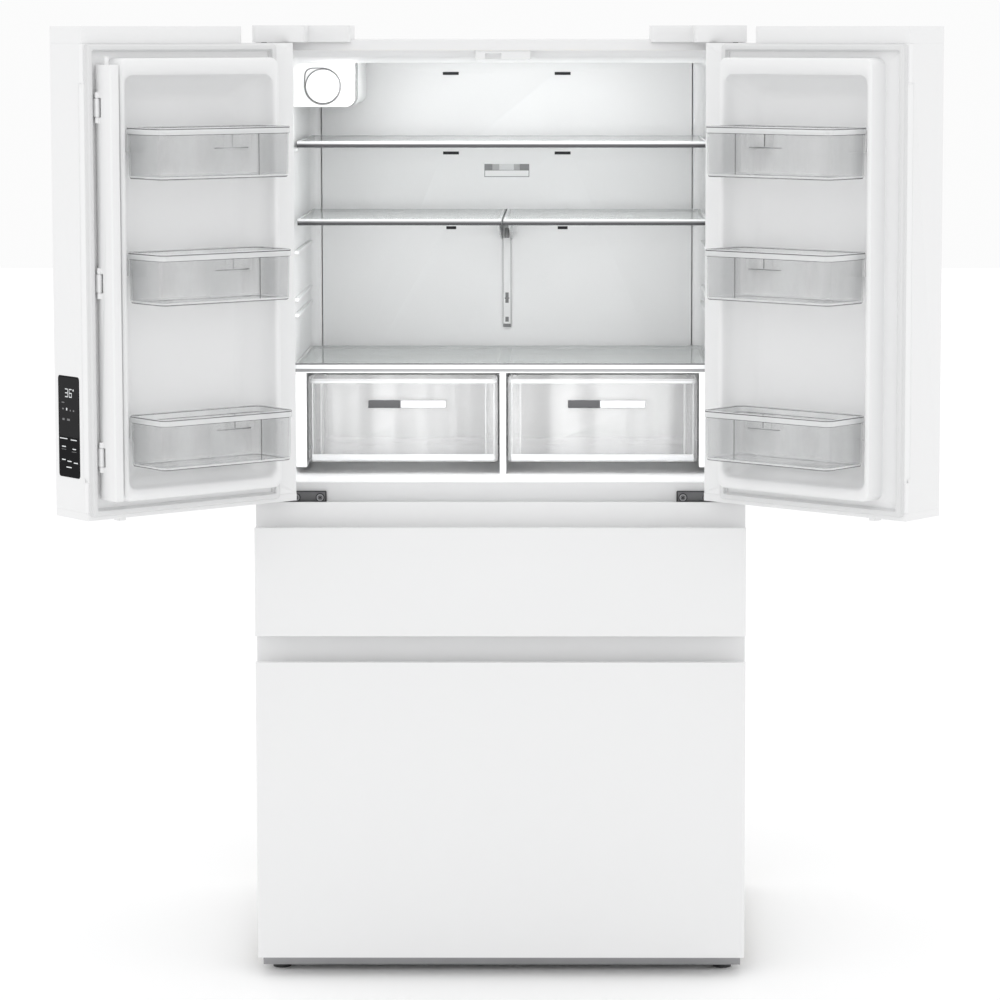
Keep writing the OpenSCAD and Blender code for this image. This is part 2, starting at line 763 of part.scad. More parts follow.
// Knuckles on the left door that hold the mullion's pins
module mullion_brackets() color(seal_grey) placed() swung() for (z = mullion_hinges) difference() {
  union() {
    block([mullion_pin[0] - 20, door_thickness, z - knuckle_h],
          [mullion_pin[0] + knuckle_r, door_thickness + 3, z + knuckle_h]);
    block([mullion_pin[0] - knuckle_r, door_thickness, z - knuckle_h],
          [mullion_pin[0] + knuckle_r, mullion_pin[1], z + knuckle_h]);
    translate([mullion_pin[0], mullion_pin[1], z - knuckle_h]) cylinder(r = knuckle_r, h = 2 * knuckle_h);
  }
  translate([mullion_pin[0], mullion_pin[1], z - knuckle_h - 1])
    cylinder(r = mullion_pin_r + run_gap, h = 2 * knuckle_h + 2);
}

// The bar as it stands with the door shut, sealing face to the front
module mullion_unfolded() {
  difference() {
    upright([mullion_x0, case_front, mullion_bottom],
            [mullion_x0 + mullion_w, case_front + mullion_t, mullion_top], 3);
    for (z = mullion_hinges)
      translate([mullion_pin[0], mullion_pin[1], z - knuckle_h - 1])
        cylinder(r = 10.5, h = 2 * knuckle_h + 2);
  }
  for (z = mullion_hinges) {
    translate([mullion_pin[0], mullion_pin[1], z - knuckle_h - 10])
      cylinder(r = mullion_pin_r, h = 2 * knuckle_h + 20);
    for (ear = [z - knuckle_h - 11, z + knuckle_h + 1])
      translate([mullion_pin[0], mullion_pin[1], ear]) cylinder(r = knuckle_r, h = 10);
  }
  translate([mullion_x0 + 24, case_front + 9, mullion_top - 1])
    cylinder(r = 4, h = throat_top - 7 - mullion_top);
}

module mullion_bar() color(paint) placed() swung()
  translate([mullion_pin[0], mullion_pin[1], 0]) rotate([0, 0, 90])
    translate([-mullion_pin[0], -mullion_pin[1], 0]) mullion_unfolded();

// ---- drawers ----

// Side outline of a drawer front, with the grip behind its lip, grown inwards by an inset
module drawer_profile(bottom, lip, top, inset, back) {
  groove = lip - 30;
  difference() {
    polygon([[inset, bottom + inset], [back, bottom + inset], [back, top - top_fall - inset],
             [grip_d + inset, top - inset], [grip_d + inset, lip - inset], [inset, lip - inset]]);
    translate([lip_t - inset, groove - inset])
      square([grip_d - lip_t + 2 * inset, lip - groove + 2 * inset]);
  }
}

// The profile across the full width, its vertical front edges rounded
module drawer_bar(bottom, lip, top, inset, back) intersection() {
  translate([-half_w + inset, 0, 0]) rotate([90, 0, 90]) linear_extrude(2 * (half_w - inset))
    drawer_profile(bottom, lip, top, inset, back);
  upright([-half_w + inset, inset, bottom - 1], [half_w - inset, back + 20, top + 1], 4 - inset);
}

module drawer_front(bottom, lip, top) difference() {
  drawer_bar(bottom, lip, top, 0, skin_back);
  drawer_bar(bottom, lip, top, sheet_t, skin_back + 5);
}

// Foam core and the inner panel on its back
module drawer_core(bottom, lip, top) {
  drawer_bar(bottom, lip, top, sheet_t, skin_back);
  block([-half_w, skin_back, bottom], [half_w, door_thickness, top - top_fall]);
}

module drawer_gasket(cavity)
  seal_ring([-inner_half - gasket_w - 1, cavity[0] - gasket_w - 1],
            [inner_half + gasket_w + 1, cavity[1] + gasket_w + 1], door_thickness);

// Outer slide channels screwed to the liner walls
module slide_channel(z) both_sides() difference() {
  block([inner_half - 12, case_front + 6, z], [inner_half - 0.3, case_front + 6 + slide_l, z + slide_h]);
  block([inner_half - 13, case_front + 5, z + 3],
        [inner_half - 3, case_front + 7 + slide_l, z + slide_h - 3]);
}

module fixed_slides() color(steel_grey) placed() {
  slide_channel(middle_slide_z);
  slide_channel(freezer_slide_z);
}

// Inner slide members bolted to a tub's sides
module slide_members(z) both_sides()
  block([tub_half, case_front + 8, z + 3 + slide_gap],
        [inner_half - 3 - slide_gap, case_front + 8 + slide_l - 10, z + slide_h - 3 - slide_gap]);

module drawer_tub(low_z, high_z, back)
  tub([-tub_half, door_thickness, low_z], [tub_half, back, high_z], 12, 3, 0);

module middle_drawer_front() color(paint) placed()
  drawer_front(middle_bottom, middle_lip, middle_top);
module middle_drawer_core() color(liner_white) placed()
  drawer_core(middle_bottom, middle_lip, middle_top);
module middle_drawer_gasket() color(seal_grey) placed() drawer_gasket(middle_cavity);
module middle_drawer_tub() color(liner_white) placed()
  drawer_tub(middle_cavity[0] + 6, middle_cavity[1] - 12, middle_back - 60);
module middle_drawer_slides() color(steel_grey) placed() slide_members(middle_slide_z);

module freezer_drawer_front() color(paint) placed()
  drawer_front(toe_height, freezer_lip, freezer_top);
module freezer_drawer_core() color(liner_white) placed()
  drawer_core(toe_height, freezer_lip, freezer_top);
module freezer_drawer_gasket() color(seal_grey) placed() drawer_gasket(freezer_cavity);
module freezer_drawer_tub() color(liner_white) placed()
  drawer_tub(freezer_cavity[0] + 8, freezer_cavity[0] + 330, freezer_back - 12);
module freezer_drawer_slides() color(steel_grey) placed() slide_members(freezer_slide_z);

// A shallow basket that slides back along the freezer tub's rim
module freezer_basket() color(liner_white) placed()
  tub([-tub_half + 2, door_thickness + 2, freezer_cavity[0] + 331],
      [tub_half - 2, door_thickness + 202, freezer_cavity[1] - 40], 10, 3, 0);

// ---- working parts ----

module water_filter() color(paint) placed() {
  translate([filter_x, housing_front + 8, filter_z]) rotate([90, 0, 0]) cylinder(r = filter_r, h = 14);
  translate([filter_x, housing_front + 8 + 230, filter_z]) rotate([90, 0, 0])
    cylinder(r = cartridge_r, h = 231);
}

// A finned block: plates on two tubes
module finned_block(low, high, count) {
  step = (high[0] - low[0]) / (count - 1);
  for (i = [0 : count - 1])
    block([low[0] + i * step - 0.6, low[1], low[2]], [low[0] + i * step + 0.6, high[1], high[2]]);
  for (z = [low[2] + 25, high[2] - 25])
    translate([low[0] - 4, (low[1] + high[1]) / 2, z]) rotate([0, 90, 0])
      cylinder(r = 4, h = high[0] - low[0] + 8);
}

module evaporator() color([0.75, 0.76, 0.78]) placed()
  finned_block([-220, liner_back + 2, fridge_floor + 60], [220, duct_back, fridge_floor + 200], 23);

// A bored hub and flat blades that spin about Y
module fan(r, hub_r, thickness, blades) difference() {
  union() {
    rotate([90, 0, 0]) cylinder(r = hub_r, h = thickness, center = true);
    for (i = [0 : blades - 1]) rotate([0, i * 360 / blades, 0])
      translate([0, 0, (r + hub_r - 2) / 2]) rotate([0, 0, 35])
        cube([r * 0.42, 1.6, r - hub_r + 2], center = true);
  }
  rotate([90, 0, 0]) cylinder(r = shaft_r + run_gap, h = thickness + 2, center = true);
}

module evaporator_fan() color(dark_grey) placed()
  translate([0, fan_y, fan_z]) fan(55, 16, 16, 7);

module compressor() color(dark_grey) placed() translate([230, case_back - 78, base_top]) {
  translate([0, 0, 12]) cylinder(r = 66, h = 105);
  translate([0, 0, 117]) intersection() {
    scale(1) translate([0, 0, -40]) sphere(r = 77);
    cylinder(r = 66, h = 40);
  }
  for (x = [-56, 56], y = [-50, 50]) translate([x, y, 0]) cylinder(r = 11, h = 14);
  translate([-62, -56, 10]) cube([124, 112, 4]);
}

// Finned condenser with the fan's motor on a bracket beside it
module condenser() color([0.30, 0.31, 0.33]) placed() {
  motor_x = condenser_fan_x - 16;
  finned_block([-190, case_back - 130, base_top], [-40, case_back - 30, base_top + 200], 16);
  translate([motor_x - 30, case_back - 80, base_top + 105]) rotate([0, 90, 0]) cylinder(r = 20, h = 30);
  translate([motor_x - 1, case_back - 80, base_top + 105]) rotate([0, 90, 0])
    cylinder(r = shaft_r, h = 30);
  block([motor_x - 24, case_back - 92, base_top], [motor_x - 6, case_back - 68, base_top + 90]);
}

module condenser_fan() color(dark_grey) placed()
  translate([condenser_fan_x, case_back - 80, base_top + 105]) rotate([0, 0, 90]) fan(68, 18, 22, 5);

// Valve body behind the cover, with its threaded inlet reaching out through it
module water_valve() color([0.85, 0.86, 0.87]) placed() translate([valve_x, case_back, valve_z]) {
  translate([0, -50, 0]) rotate([-90, 0, 0]) cylinder(r = 16, h = 34);
  block([-22, -80, -18], [22, -50, 24]);
  block([-20, -78, base_top - valve_z], [20, -75, -18]);
  translate([0, -17, 0]) rotate([-90, 0, 0]) cylinder(r = inlet_r, h = 17);
}

module power_inlet() color(dark_grey) placed() translate([-330, case_back, 150]) difference() {
  translate([0, -20, 0]) rotate([-90, 0, 0]) cylinder(r = 21, h = 20);
  block([-12, -12, -8], [12, 1, 8]);
}

module levelling_feet() color(dark_grey) placed() both_sides() translate([foot_x, foot_y, 0]) {
  cylinder(r = foot_r, h = 9);
  cylinder(r = 6, h = base_top - 14);
}

// Two rollers that turn on the carriers' axles
module roller_pair(y, z) both_sides() translate([roller_x - roller_w / 2, y, z]) rotate([0, 90, 0])
  difference() {
    cylinder(r = roller_r, h = roller_w);
    translate([0, 0, -1]) cylinder(r = axle_r + run_gap, h = roller_w + 2);
  }

module front_rollers() color([0.25, 0.25, 0.26]) placed() roller_pair(front_roller_y, roller_r + 1);
module rear_rollers() color([0.25, 0.25, 0.26]) placed() roller_pair(rear_roller_y, roller_r);

cabinet_shell();
back_panel();
cabinet_foam();
fridge_liner();
drawer_liners();
front_rails();
base_frame();
machine_cover();
air_duct_panel();
mullion_guide();
filter_housing();
shelf_ladder();
top_shelf_glass();
top_shelf_trim();
half_shelf_glass();
half_shelf_trims();
crisper_cover_glass();
crisper_cover_trim();
crisper_frames();
hinge_covers();
door_hinges();
hinge_screws();
evaporator();
compressor();
condenser();
water_valve();
power_inlet();
levelling_feet();
fixed_slides();
left_door_skin();
left_door_liner();
left_door_gasket();
left_door_caps();
left_door_bins();
control_panel();
mullion_brackets();
mullion_bar();
right_door_skin();
right_door_liner();
right_door_gasket();
right_door_caps();
right_door_bins();
middle_drawer_front();
middle_drawer_core();
middle_drawer_gasket();
middle_drawer_tub();
middle_drawer_slides();
freezer_drawer_front();
freezer_drawer_core();
freezer_drawer_gasket();
freezer_drawer_tub();
freezer_drawer_slides();
freezer_basket();
left_crisper();
right_crisper();
water_filter();
evaporator_fan();
condenser_fan();
front_rollers();
rear_rollers();
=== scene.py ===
# %% [markdown]
# # A french door refrigerator
# The casing, hinges, drawers and shelves come ready made as a fixed frame, and this script gives
# them their looks. A real refrigerator is bent sheet, vacuum-formed liner and moulded clear
# plastic, so most cells here make one of three things: a formed sheet, a tub or a finish.

import json
import math

import bmesh
import bpy
from mathutils import Matrix, Vector


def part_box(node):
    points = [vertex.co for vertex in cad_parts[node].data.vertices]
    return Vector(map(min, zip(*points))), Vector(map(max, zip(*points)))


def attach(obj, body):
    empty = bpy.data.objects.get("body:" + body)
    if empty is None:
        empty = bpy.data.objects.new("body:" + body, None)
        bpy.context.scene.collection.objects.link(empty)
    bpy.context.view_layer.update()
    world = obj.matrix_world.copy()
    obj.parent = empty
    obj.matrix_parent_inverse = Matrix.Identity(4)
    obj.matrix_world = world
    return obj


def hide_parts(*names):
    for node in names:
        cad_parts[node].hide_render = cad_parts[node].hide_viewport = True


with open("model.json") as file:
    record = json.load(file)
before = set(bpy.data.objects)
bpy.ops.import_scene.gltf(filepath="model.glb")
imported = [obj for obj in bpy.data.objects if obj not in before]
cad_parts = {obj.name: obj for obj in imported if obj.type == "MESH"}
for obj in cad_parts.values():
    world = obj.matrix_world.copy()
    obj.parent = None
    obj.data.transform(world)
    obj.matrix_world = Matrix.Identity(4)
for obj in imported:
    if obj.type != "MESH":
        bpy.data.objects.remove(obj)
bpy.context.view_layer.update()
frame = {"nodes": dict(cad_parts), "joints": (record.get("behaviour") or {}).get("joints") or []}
mm = 0.001

# %% [markdown]
# ## Places on the cabinet
# Everything is measured from the frame, so a piece stays on its neighbour when the frame changes.
# The drawer fronts give the front plane. The doors are modelled shut, flat against the cabinet,
# because that is how their makers draw them, and are then swung open on their real hinge pins.

# %% Read the driving places from the frame
shell_low, shell_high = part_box("cabinet_shell")
half_width = shell_high.x
front_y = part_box("freezer_drawer_front")[0].y
case_y = shell_low.y
opening_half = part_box("fridge_liner")[1].x - 1.5 * mm
floor_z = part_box("fridge_liner")[0].z + 1.5 * mm
throat_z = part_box("fridge_liner")[1].z - 1.5 * mm
liner_back_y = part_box("air_duct_panel")[0].y + 5 * mm
duct_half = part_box("air_duct_panel")[1].x + 2 * mm
joint = {j["name"]: j for j in frame["joints"]}
print("front plane y %.3f, cabinet front y %.3f, opening half width %.4f" % (front_y, case_y, opening_half))


def swing_from_shut(name):
    """The turn that carries a door from shut to where it stands at rest."""
    hinge = joint[name]
    pin = Matrix.Translation(Vector(hinge["pos_m"]))
    shut_angle = math.radians(hinge["range_deg"][0])
    return pin @ Matrix.Rotation(-shut_angle, 4, Vector(hinge["axis"])) @ pin.inverted()


left_swing = swing_from_shut("left_door_hinge")
right_swing = swing_from_shut("right_door_hinge")
mirror_x = Matrix.Scale(-1, 4, (1, 0, 0))
print("left door turned by %.0f degrees" % math.degrees(left_swing.to_euler().z))

# %% [markdown]
# ## Camera, floor and light
# A tall appliance is best seen from far away through a long lens, at the height of the top shelf.
# The lens is shifted a little down and the camera tilts for the rest. White goods need a
# bright, even surround, and a lamp strip inside the food space, as the real one has.

# %% Place the camera
scene = bpy.context.scene
scene.view_settings.view_transform = "Standard"
camera_data = bpy.data.cameras.new("camera")
camera_data.lens = 129.7
camera_data.shift_x = -0.072
camera_data.shift_y = -0.10
camera_data.clip_end = 60
camera = bpy.data.objects.new("camera", camera_data)
camera.location = (0.149, front_y - 6.586, 1.759)
camera.rotation_euler = (math.radians(90 - 5.844), 0, math.radians(0.144))
scene.collection.objects.link(camera)
scene.camera = camera
print("camera at", tuple(round(v, 3) for v in camera.location))

# %% Lay the floor and hang the lamps
world = bpy.data.worlds.new("studio")
world.use_nodes = True
scene.world = world
sky = world.node_tree.nodes["Background"]
sky.inputs["Color"].default_value = (1, 1, 1, 1)
sky.inputs["Strength"].default_value = 0.97


def soft_lamp(name, place, target, size, power):
    """A square soft box that faces its target."""
    data = bpy.data.lights.new(name, "AREA")
    data.shape = "RECTANGLE"
    data.size, data.size_y = size
    data.energy = power
    lamp = bpy.data.objects.new(name, data)
    lamp.location = place
    lamp.rotation_euler = (Vector(target) - Vector(place)).to_track_quat("-Z", "Y").to_euler()
    scene.collection.objects.link(lamp)
    return lamp


middle = Vector((0, 0, 0.95))
soft_lamp("key_lamp", (-1.6, -4.2, 3.4), middle, (2.4, 2.0), 6)
soft_lamp("fill_lamp", (2.4, -4.0, 2.2), middle, (2.2, 2.2), 1.2)
inside = Vector((0, liner_back_y, 1.30))
soft_lamp("shelf_lamp", (0, case_y + 0.075, throat_z - 0.03), inside, (0.6, 0.03), 0.9)
soft_lamp("opening_lamp", (0, case_y + 0.01, 1.36), inside, (0.74, 0.66), 1.4)
soft_lamp("crisper_lamp", (0, case_y + 0.01, 1.02), (0, liner_back_y, 1.0), (0.74, 0.16), 0.55)
overhead = bpy.data.lights.new("overhead_lamp", "SUN")
overhead.energy = 0.45
overhead.angle = math.radians(70)
scene.collection.objects.link(bpy.data.objects.new("overhead_lamp", overhead))

floor_data = bpy.data.meshes.new("floor")
reach = 20
floor_data.from_pydata([(-reach, -reach, 0), (reach, -reach, 0), (reach, reach, 0), (-reach, reach, 0)],
                       [], [(0, 1, 2, 3)])
floor = bpy.data.objects.new("floor", floor_data)
scene.collection.objects.link(floor)

# %% [markdown]
# ## Finishes
# A finish is one shader with its own roughness, and small bumps from procedural noise. Enamel
# has a faint orange peel, formed plastic a soft grain, brushed steel long fine scratches. Each
# finish is a function call here, so its numbers sit side by side and are easy to compare.


# %% A finish with grain and bumps
def finish(name, colour, rough, bump=0.0, scale=400.0, stretch=(1, 1, 1), spread=0.05, metal=0.0,
           coat=0.0, level=0.5, tone=0.03):
    """A shader whose roughness, colour and height vary with fine noise."""
    material = bpy.data.materials.new(name)
    material.use_nodes = True
    tree = material.node_tree
    shader = tree.nodes["Principled BSDF"]
    shader.inputs["Metallic"].default_value = metal
    shader.inputs["Coat Weight"].default_value = coat
    shader.inputs["Specular IOR Level"].default_value = level
    place = tree.nodes.new("ShaderNodeTexCoord")
    spacing = tree.nodes.new("ShaderNodeMapping")
    spacing.inputs["Scale"].default_value = stretch
    grain = tree.nodes.new("ShaderNodeTexNoise")
    grain.inputs["Scale"].default_value = scale
    grain.inputs["Detail"].default_value = 3
    tree.links.new(place.outputs["Object"], spacing.inputs["Vector"])
    tree.links.new(spacing.outputs["Vector"], grain.inputs["Vector"])
    gloss = tree.nodes.new("ShaderNodeMapRange")
    gloss.inputs["To Min"].default_value = max(rough - spread, 0.02)
    gloss.inputs["To Max"].default_value = rough + spread
    tree.links.new(grain.outputs["Fac"], gloss.inputs["Value"])
    tree.links.new(gloss.outputs["Result"], shader.inputs["Roughness"])
    cloud = tree.nodes.new("ShaderNodeTexNoise")
    cloud.inputs["Scale"].default_value = 3.5
    tree.links.new(place.outputs["Object"], cloud.inputs["Vector"])
    shade = tree.nodes.new("ShaderNodeMixRGB")
    shade.inputs["Color1"].default_value = (*colour, 1)
    shade.inputs["Color2"].default_value = (*[c * (1 - tone) for c in colour], 1)
    tree.links.new(cloud.outputs["Fac"], shade.inputs["Fac"])
    tree.links.new(shade.outputs["Color"], shader.inputs["Base Color"])
    if bump:
        height = tree.nodes.new("ShaderNodeBump")
        height.inputs["Strength"].default_value = bump
        height.inputs["Distance"].default_value = 0.0004
        tree.links.new(grain.outputs["Fac"], height.inputs["Height"])
        tree.links.new(height.outputs["Normal"], shader.inputs["Normal"])
    return material


# %% Opaque finishes
white = (0.835, 0.837, 0.84)
enamel = finish("enamel", white, 0.32, bump=0.05, scale=900, coat=0.15, tone=0.012)
liner_white = finish("liner_white", (0.86, 0.863, 0.866), 0.36, bump=0.08, scale=1400, tone=0.015)
moulded_white = finish("moulded_white", (0.85, 0.853, 0.856), 0.42, bump=0.12, scale=1800, tone=0.02)
gasket_rubber = finish("gasket_rubber", (0.74, 0.743, 0.746), 0.55, bump=0.2, scale=1500)
zinc = finish("zinc", (0.40, 0.40, 0.41), 0.34, bump=0.25, scale=700, metal=0.8, tone=0.2)
hinge_steel = finish("hinge_steel", (0.19, 0.19, 0.195), 0.36, bump=0.2, scale=700, metal=0.4, tone=0.2)
galvanised = finish("galvanised", (0.60, 0.61, 0.62), 0.40, bump=0.2, scale=90, metal=0.7, tone=0.15)
rail_grey = finish("rail_grey", (0.23, 0.233, 0.236), 0.25, bump=0.1, scale=900,
                   stretch=(0.05, 1, 1), metal=0.2)
rail_pale = finish("rail_pale", (0.66, 0.67, 0.675), 0.28, bump=0.08, scale=900, stretch=(0.05, 1, 1))
rail_dark = finish("rail_dark", (0.05, 0.05, 0.053), 0.24, bump=0.06, scale=900, level=0.3)
line_grey = finish("line_grey", (0.42, 0.423, 0.426), 0.45, bump=0.05)
soft_grey = finish("soft_grey", (0.20, 0.202, 0.205), 0.45, bump=0.05)
fins = finish("fins", (0.75, 0.76, 0.77), 0.35, bump=0.3, scale=1200, stretch=(1, 1, 0.1), metal=0.9)
black_paint = finish("black_paint", (0.025, 0.025, 0.028), 0.35, bump=0.15, scale=800)
black_plastic = finish("black_plastic", (0.03, 0.03, 0.032), 0.5, bump=0.3, scale=1500)
foam_finish = finish("foam", (0.83, 0.72, 0.42), 0.9, bump=0.8, scale=500)
panel_black = finish("panel_black", (0.004, 0.004, 0.005), 0.10, scale=200, level=0.04, spread=0.02)
window_grey = finish("window_grey", (0.016, 0.016, 0.017), 0.14, scale=200, level=0.05, spread=0.02)
shadow_gap = finish("shadow_gap", (0.03, 0.03, 0.033), 0.8, bump=0.1)
lit_digit = finish("lit_digit", (0.85, 0.87, 0.88), 0.4)
dim_mark = finish("dim_mark", (0.16, 0.16, 0.165), 0.4)
studio_floor = finish("studio_floor", (0.97, 0.97, 0.97), 0.8, bump=0.05, scale=60, level=0.1, tone=0.005)
floor.data.materials.append(studio_floor)


# %% [markdown]
# ## Clear plastic and glass
# Thin clear walls could be refracting glass, but then every bin would throw a dark shadow that a
# real one does not, because light leaks through it. Here a clear wall is a glossy surface that is
# mostly see-through face on and turns milky where it is seen along its length, as polished
# styrene does. Tall soft streaks stand for the uneven flow of the plastic in its mould.


# %% A see-through finish
def clear_finish(name, colour, rough, face_on, edge_on, blend=0.35, streak=0.0):
    """A glossy surface whose cover grows from face_on to edge_on at glancing angles."""
    material = finish(name, colour, rough, bump=0.03, scale=300, spread=0.02, tone=0.02)
    tree = material.node_tree
    shader = tree.nodes["Principled BSDF"]
    glance = tree.nodes.new("ShaderNodeLayerWeight")
    glance.inputs["Blend"].default_value = blend
    cover = tree.nodes.new("ShaderNodeMapRange")
    cover.inputs["To Min"].default_value = face_on
    cover.inputs["To Max"].default_value = edge_on
    tree.links.new(glance.outputs["Facing"], cover.inputs["Value"])
    place = tree.nodes.new("ShaderNodeTexCoord")
    tall = tree.nodes.new("ShaderNodeMapping")
    tall.inputs["Scale"].default_value = (1, 1, 0.06)
    streaks = tree.nodes.new("ShaderNodeTexNoise")
    streaks.inputs["Scale"].default_value = 17
    streaks.inputs["Detail"].default_value = 1
    band = tree.nodes.new("ShaderNodeMapRange")
    band.inputs["From Min"].default_value = 0.35
    band.inputs["From Max"].default_value = 0.65
    band.inputs["To Min"].default_value = -streak
    band.inputs["To Max"].default_value = streak
    total = tree.nodes.new("ShaderNodeMath")
    total.use_clamp = True
    tree.links.new(place.outputs["Object"], tall.inputs["Vector"])
    tree.links.new(tall.outputs["Vector"], streaks.inputs["Vector"])
    tree.links.new(streaks.outputs["Fac"], band.inputs["Value"])
    tree.links.new(cover.outputs["Result"], total.inputs[0])
    tree.links.new(band.outputs["Result"], total.inputs[1])
    tree.links.new(total.outputs["Value"], shader.inputs["Alpha"])
    return material


clear_wall = clear_finish("clear_wall", (0.68, 0.69, 0.695), 0.10, 0.10, 0.60, streak=0.12)
# The next finish gives the dark edge lines of clear tubs, a painted reflection, and the one after it their bright
# bands, a painted highlight.
clear_edge_reflection = clear_finish("clear_edge_reflection", (0.10, 0.10, 0.105), 0.12, 0.62, 0.92)
clear_highlight = clear_finish("clear_highlight", (0.90, 0.91, 0.915), 0.10, 0.50, 0.85)
# This darker grey is a painted shade on the end walls of the bins.
clear_end_shade = clear_finish("clear_end_shade", (0.56, 0.57, 0.575), 0.12, 0.18, 0.50, streak=0.10)
crisper_wall = clear_finish("crisper_wall", (0.80, 0.803, 0.806), 0.14, 0.18, 0.60, streak=0.06)
shelf_glass = clear_finish("shelf_glass", (0.74, 0.78, 0.77), 0.05, 0.10, 0.80, blend=0.25)
frosted = clear_finish("frosted", (0.84, 0.85, 0.86), 0.35, 0.72, 0.95)
print("finishes:", len(bpy.data.materials))


# %% [markdown]
# ## Building helpers
# Nearly every formed part is a stack of rounded rectangles: a tub, a liner, a gasket. Subdividing
# a box would round it too, but a stack of rings says exactly where each fillet starts and ends.
# The rings are bridged with quads, and edges sharper than a limit keep a crisp shade.


# %% Rounded rings and lofts
def rounded_ring(low, high, radii, steps=6):
    """Corner points of a rounded rectangle, as (across, up) pairs. radii are bottom and top."""
    bottom, top = radii
    corners = (
        (high[0] - bottom, low[1] + bottom, bottom, -90),
        (high[0] - top, high[1] - top, top, 0),
        (low[0] + top, high[1] - top, top, 90),
        (low[0] + bottom, low[1] + bottom, bottom, 180),
    )
    points = []
    for across, up, radius, start in corners:
        for i in range(steps + 1):
            turn = math.radians(start + 90 * i / steps)
            points.append((across + radius * math.cos(turn), up + radius * math.sin(turn)))
    return points


def new_piece(name, bm, materials, sharp=32):
    """Turns a bmesh into an object with smooth shading up to the sharp angle."""
    bmesh.ops.recalc_face_normals(bm, faces=bm.faces)
    data = bpy.data.meshes.new(name)
    bm.to_mesh(data)
    bm.free()
    for material in materials:
        data.materials.append(material)
    data.shade_smooth()
    data.set_sharp_from_angle(angle=math.radians(sharp))
    piece = bpy.data.objects.new(name, data)
    scene.collection.objects.link(piece)
    return piece


def loft(bm, rings, close_first=False, close_last=False, slots=None):
    """Bridges rings of 3D points with quads. slots gives the material of each band."""
    rows = [[bm.verts.new(p) for p in ring] for ring in rings]
    count = len(rows[0])
    for band, (a, b) in enumerate(zip(rows, rows[1:])):
        for i in range(count):
            face = bm.faces.new((a[i], a[(i + 1) % count], b[(i + 1) % count], b[i]))
            face.material_index = slots[band] if slots else 0
    if close_first:
        bm.faces.new(list(reversed(rows[0])))
    if close_last:
        bm.faces.new(rows[-1])
    return rows


def rounded_block(bm, low, high, radius=0.8 * mm, slot=0):
    """A box with rounded edges, added to a bmesh."""
    low, high = Vector(low), Vector(high)
    made = bmesh.ops.create_cube(bm, size=1)["verts"]
    centre = (low + high) / 2
    for v in made:
        v.co = Vector(a * b for a, b in zip(v.co, high - low)) + centre
    edges = list({e for v in made for e in v.link_edges})
    for face in {f for v in made for f in v.link_faces}:
        face.material_index = slot
    limit = min(high - low) * 0.45
    bmesh.ops.bevel(bm, geom=edges, offset=min(radius, limit), segments=2, affect="EDGES", profile=0.6,
                    material=slot)


def carry(piece, body, slot, *replaced):
    """Says what a piece rides on and the frame nodes that it stands for. Its finish slot is not used."""
    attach(piece, body)
    if replaced:
        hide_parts(*replaced)
    return piece


def to_door(piece, side):
    """Carries a piece from the shut left door to either door as it stands open."""
    if side == "left":
        piece.data.transform(left_swing)
    else:
        piece.data.transform(right_swing @ mirror_x)
        piece.data.flip_normals()
    piece.data.update()
    return piece


# %% [markdown]
# ## Softened copies of the frame
# Real edges are never knife sharp: sheet bends round a radius and moulded parts carry a fillet
# that catches a line of light. A copy of a frame node keeps its exact size, its flat triangles are
# joined back into whole faces, and only the edges that would be round are bevelled.


# %% Copy a node and round its edges
def softened(node, body, slot, materials, width=1.0 * mm, choose=None, paint=None, cuts=()):
    """A copy of a frame node with its sharp edges rounded. Cuts are planes where its colour changes."""
    bm = bmesh.new()
    bm.from_mesh(frame["nodes"][node].data)
    bmesh.ops.remove_doubles(bm, verts=bm.verts, dist=0.00001)
    bmesh.ops.dissolve_limit(bm, angle_limit=math.radians(0.4), verts=bm.verts, edges=bm.edges)
    edges = []
    for edge in bm.edges:
        if len(edge.link_faces) != 2 or edge.calc_face_angle(0) < math.radians(30):
            continue
        middle_point = (edge.verts[0].co + edge.verts[1].co) / 2
        along = (edge.verts[1].co - edge.verts[0].co).normalized()
        if choose is None or choose(middle_point, along):
            edges.append(edge)
    if edges:
        bmesh.ops.bevel(bm, geom=edges, offset=width, segments=3, affect="EDGES", profile=0.5,
                        clamp_overlap=True)
    for point, normal in cuts:
        bmesh.ops.bisect_plane(bm, geom=bm.verts[:] + bm.edges[:] + bm.faces[:],
                               plane_co=point, plane_no=normal)
    for face in bm.faces:
        face.material_index = paint(face.calc_center_median(), face.normal) if paint else 0
    piece = new_piece(node + "_formed", bm, materials)
    return carry(piece, body, slot, node)


def dress(names, material):
    """Gives frame nodes whose shape is already right their finish."""
    for name in names.split():
        data = frame["nodes"][name].data
        data.materials.clear()
        data.materials.append(material)
        data.polygons.foreach_set("material_index", [0] * len(data.polygons))


# %% [markdown]
# ## Parts that only need a finish
# Many pieces, such as the back sheet, the compressor and the slides, are already the right shape.
# They take a material and nothing else.

# %% Dress the working parts
dress("back_panel machine_cover", galvanised)
dress("base_frame fixed_slides middle_drawer_slides freezer_drawer_slides hinge_screws", zinc)
dress("cabinet_foam", foam_finish)
dress("drawer_liners front_rails middle_drawer_core freezer_drawer_core", liner_white)
dress("evaporator", fins)
dress("compressor condenser", black_paint)
dress("evaporator_fan condenser_fan power_inlet levelling_feet front_rollers rear_rollers", black_plastic)
dress("water_valve", moulded_white)
dress("mullion_brackets", moulded_white)
dress("top_shelf_glass half_shelf_glass crisper_cover_glass", shelf_glass)

# %% [markdown]
# ## Cabinet and drawer fronts
# The wrapper is one sheet bent over the roof and down both sides. The drawer fronts are folded
# sheet too, with a lip along the top that hides the grip. Only the long bends are rounded.


# %% Bend the painted sheet
def along_x(point, direction):
    return abs(direction.x) > 0.9


def along_y(point, direction):
    return abs(direction.y) > 0.9


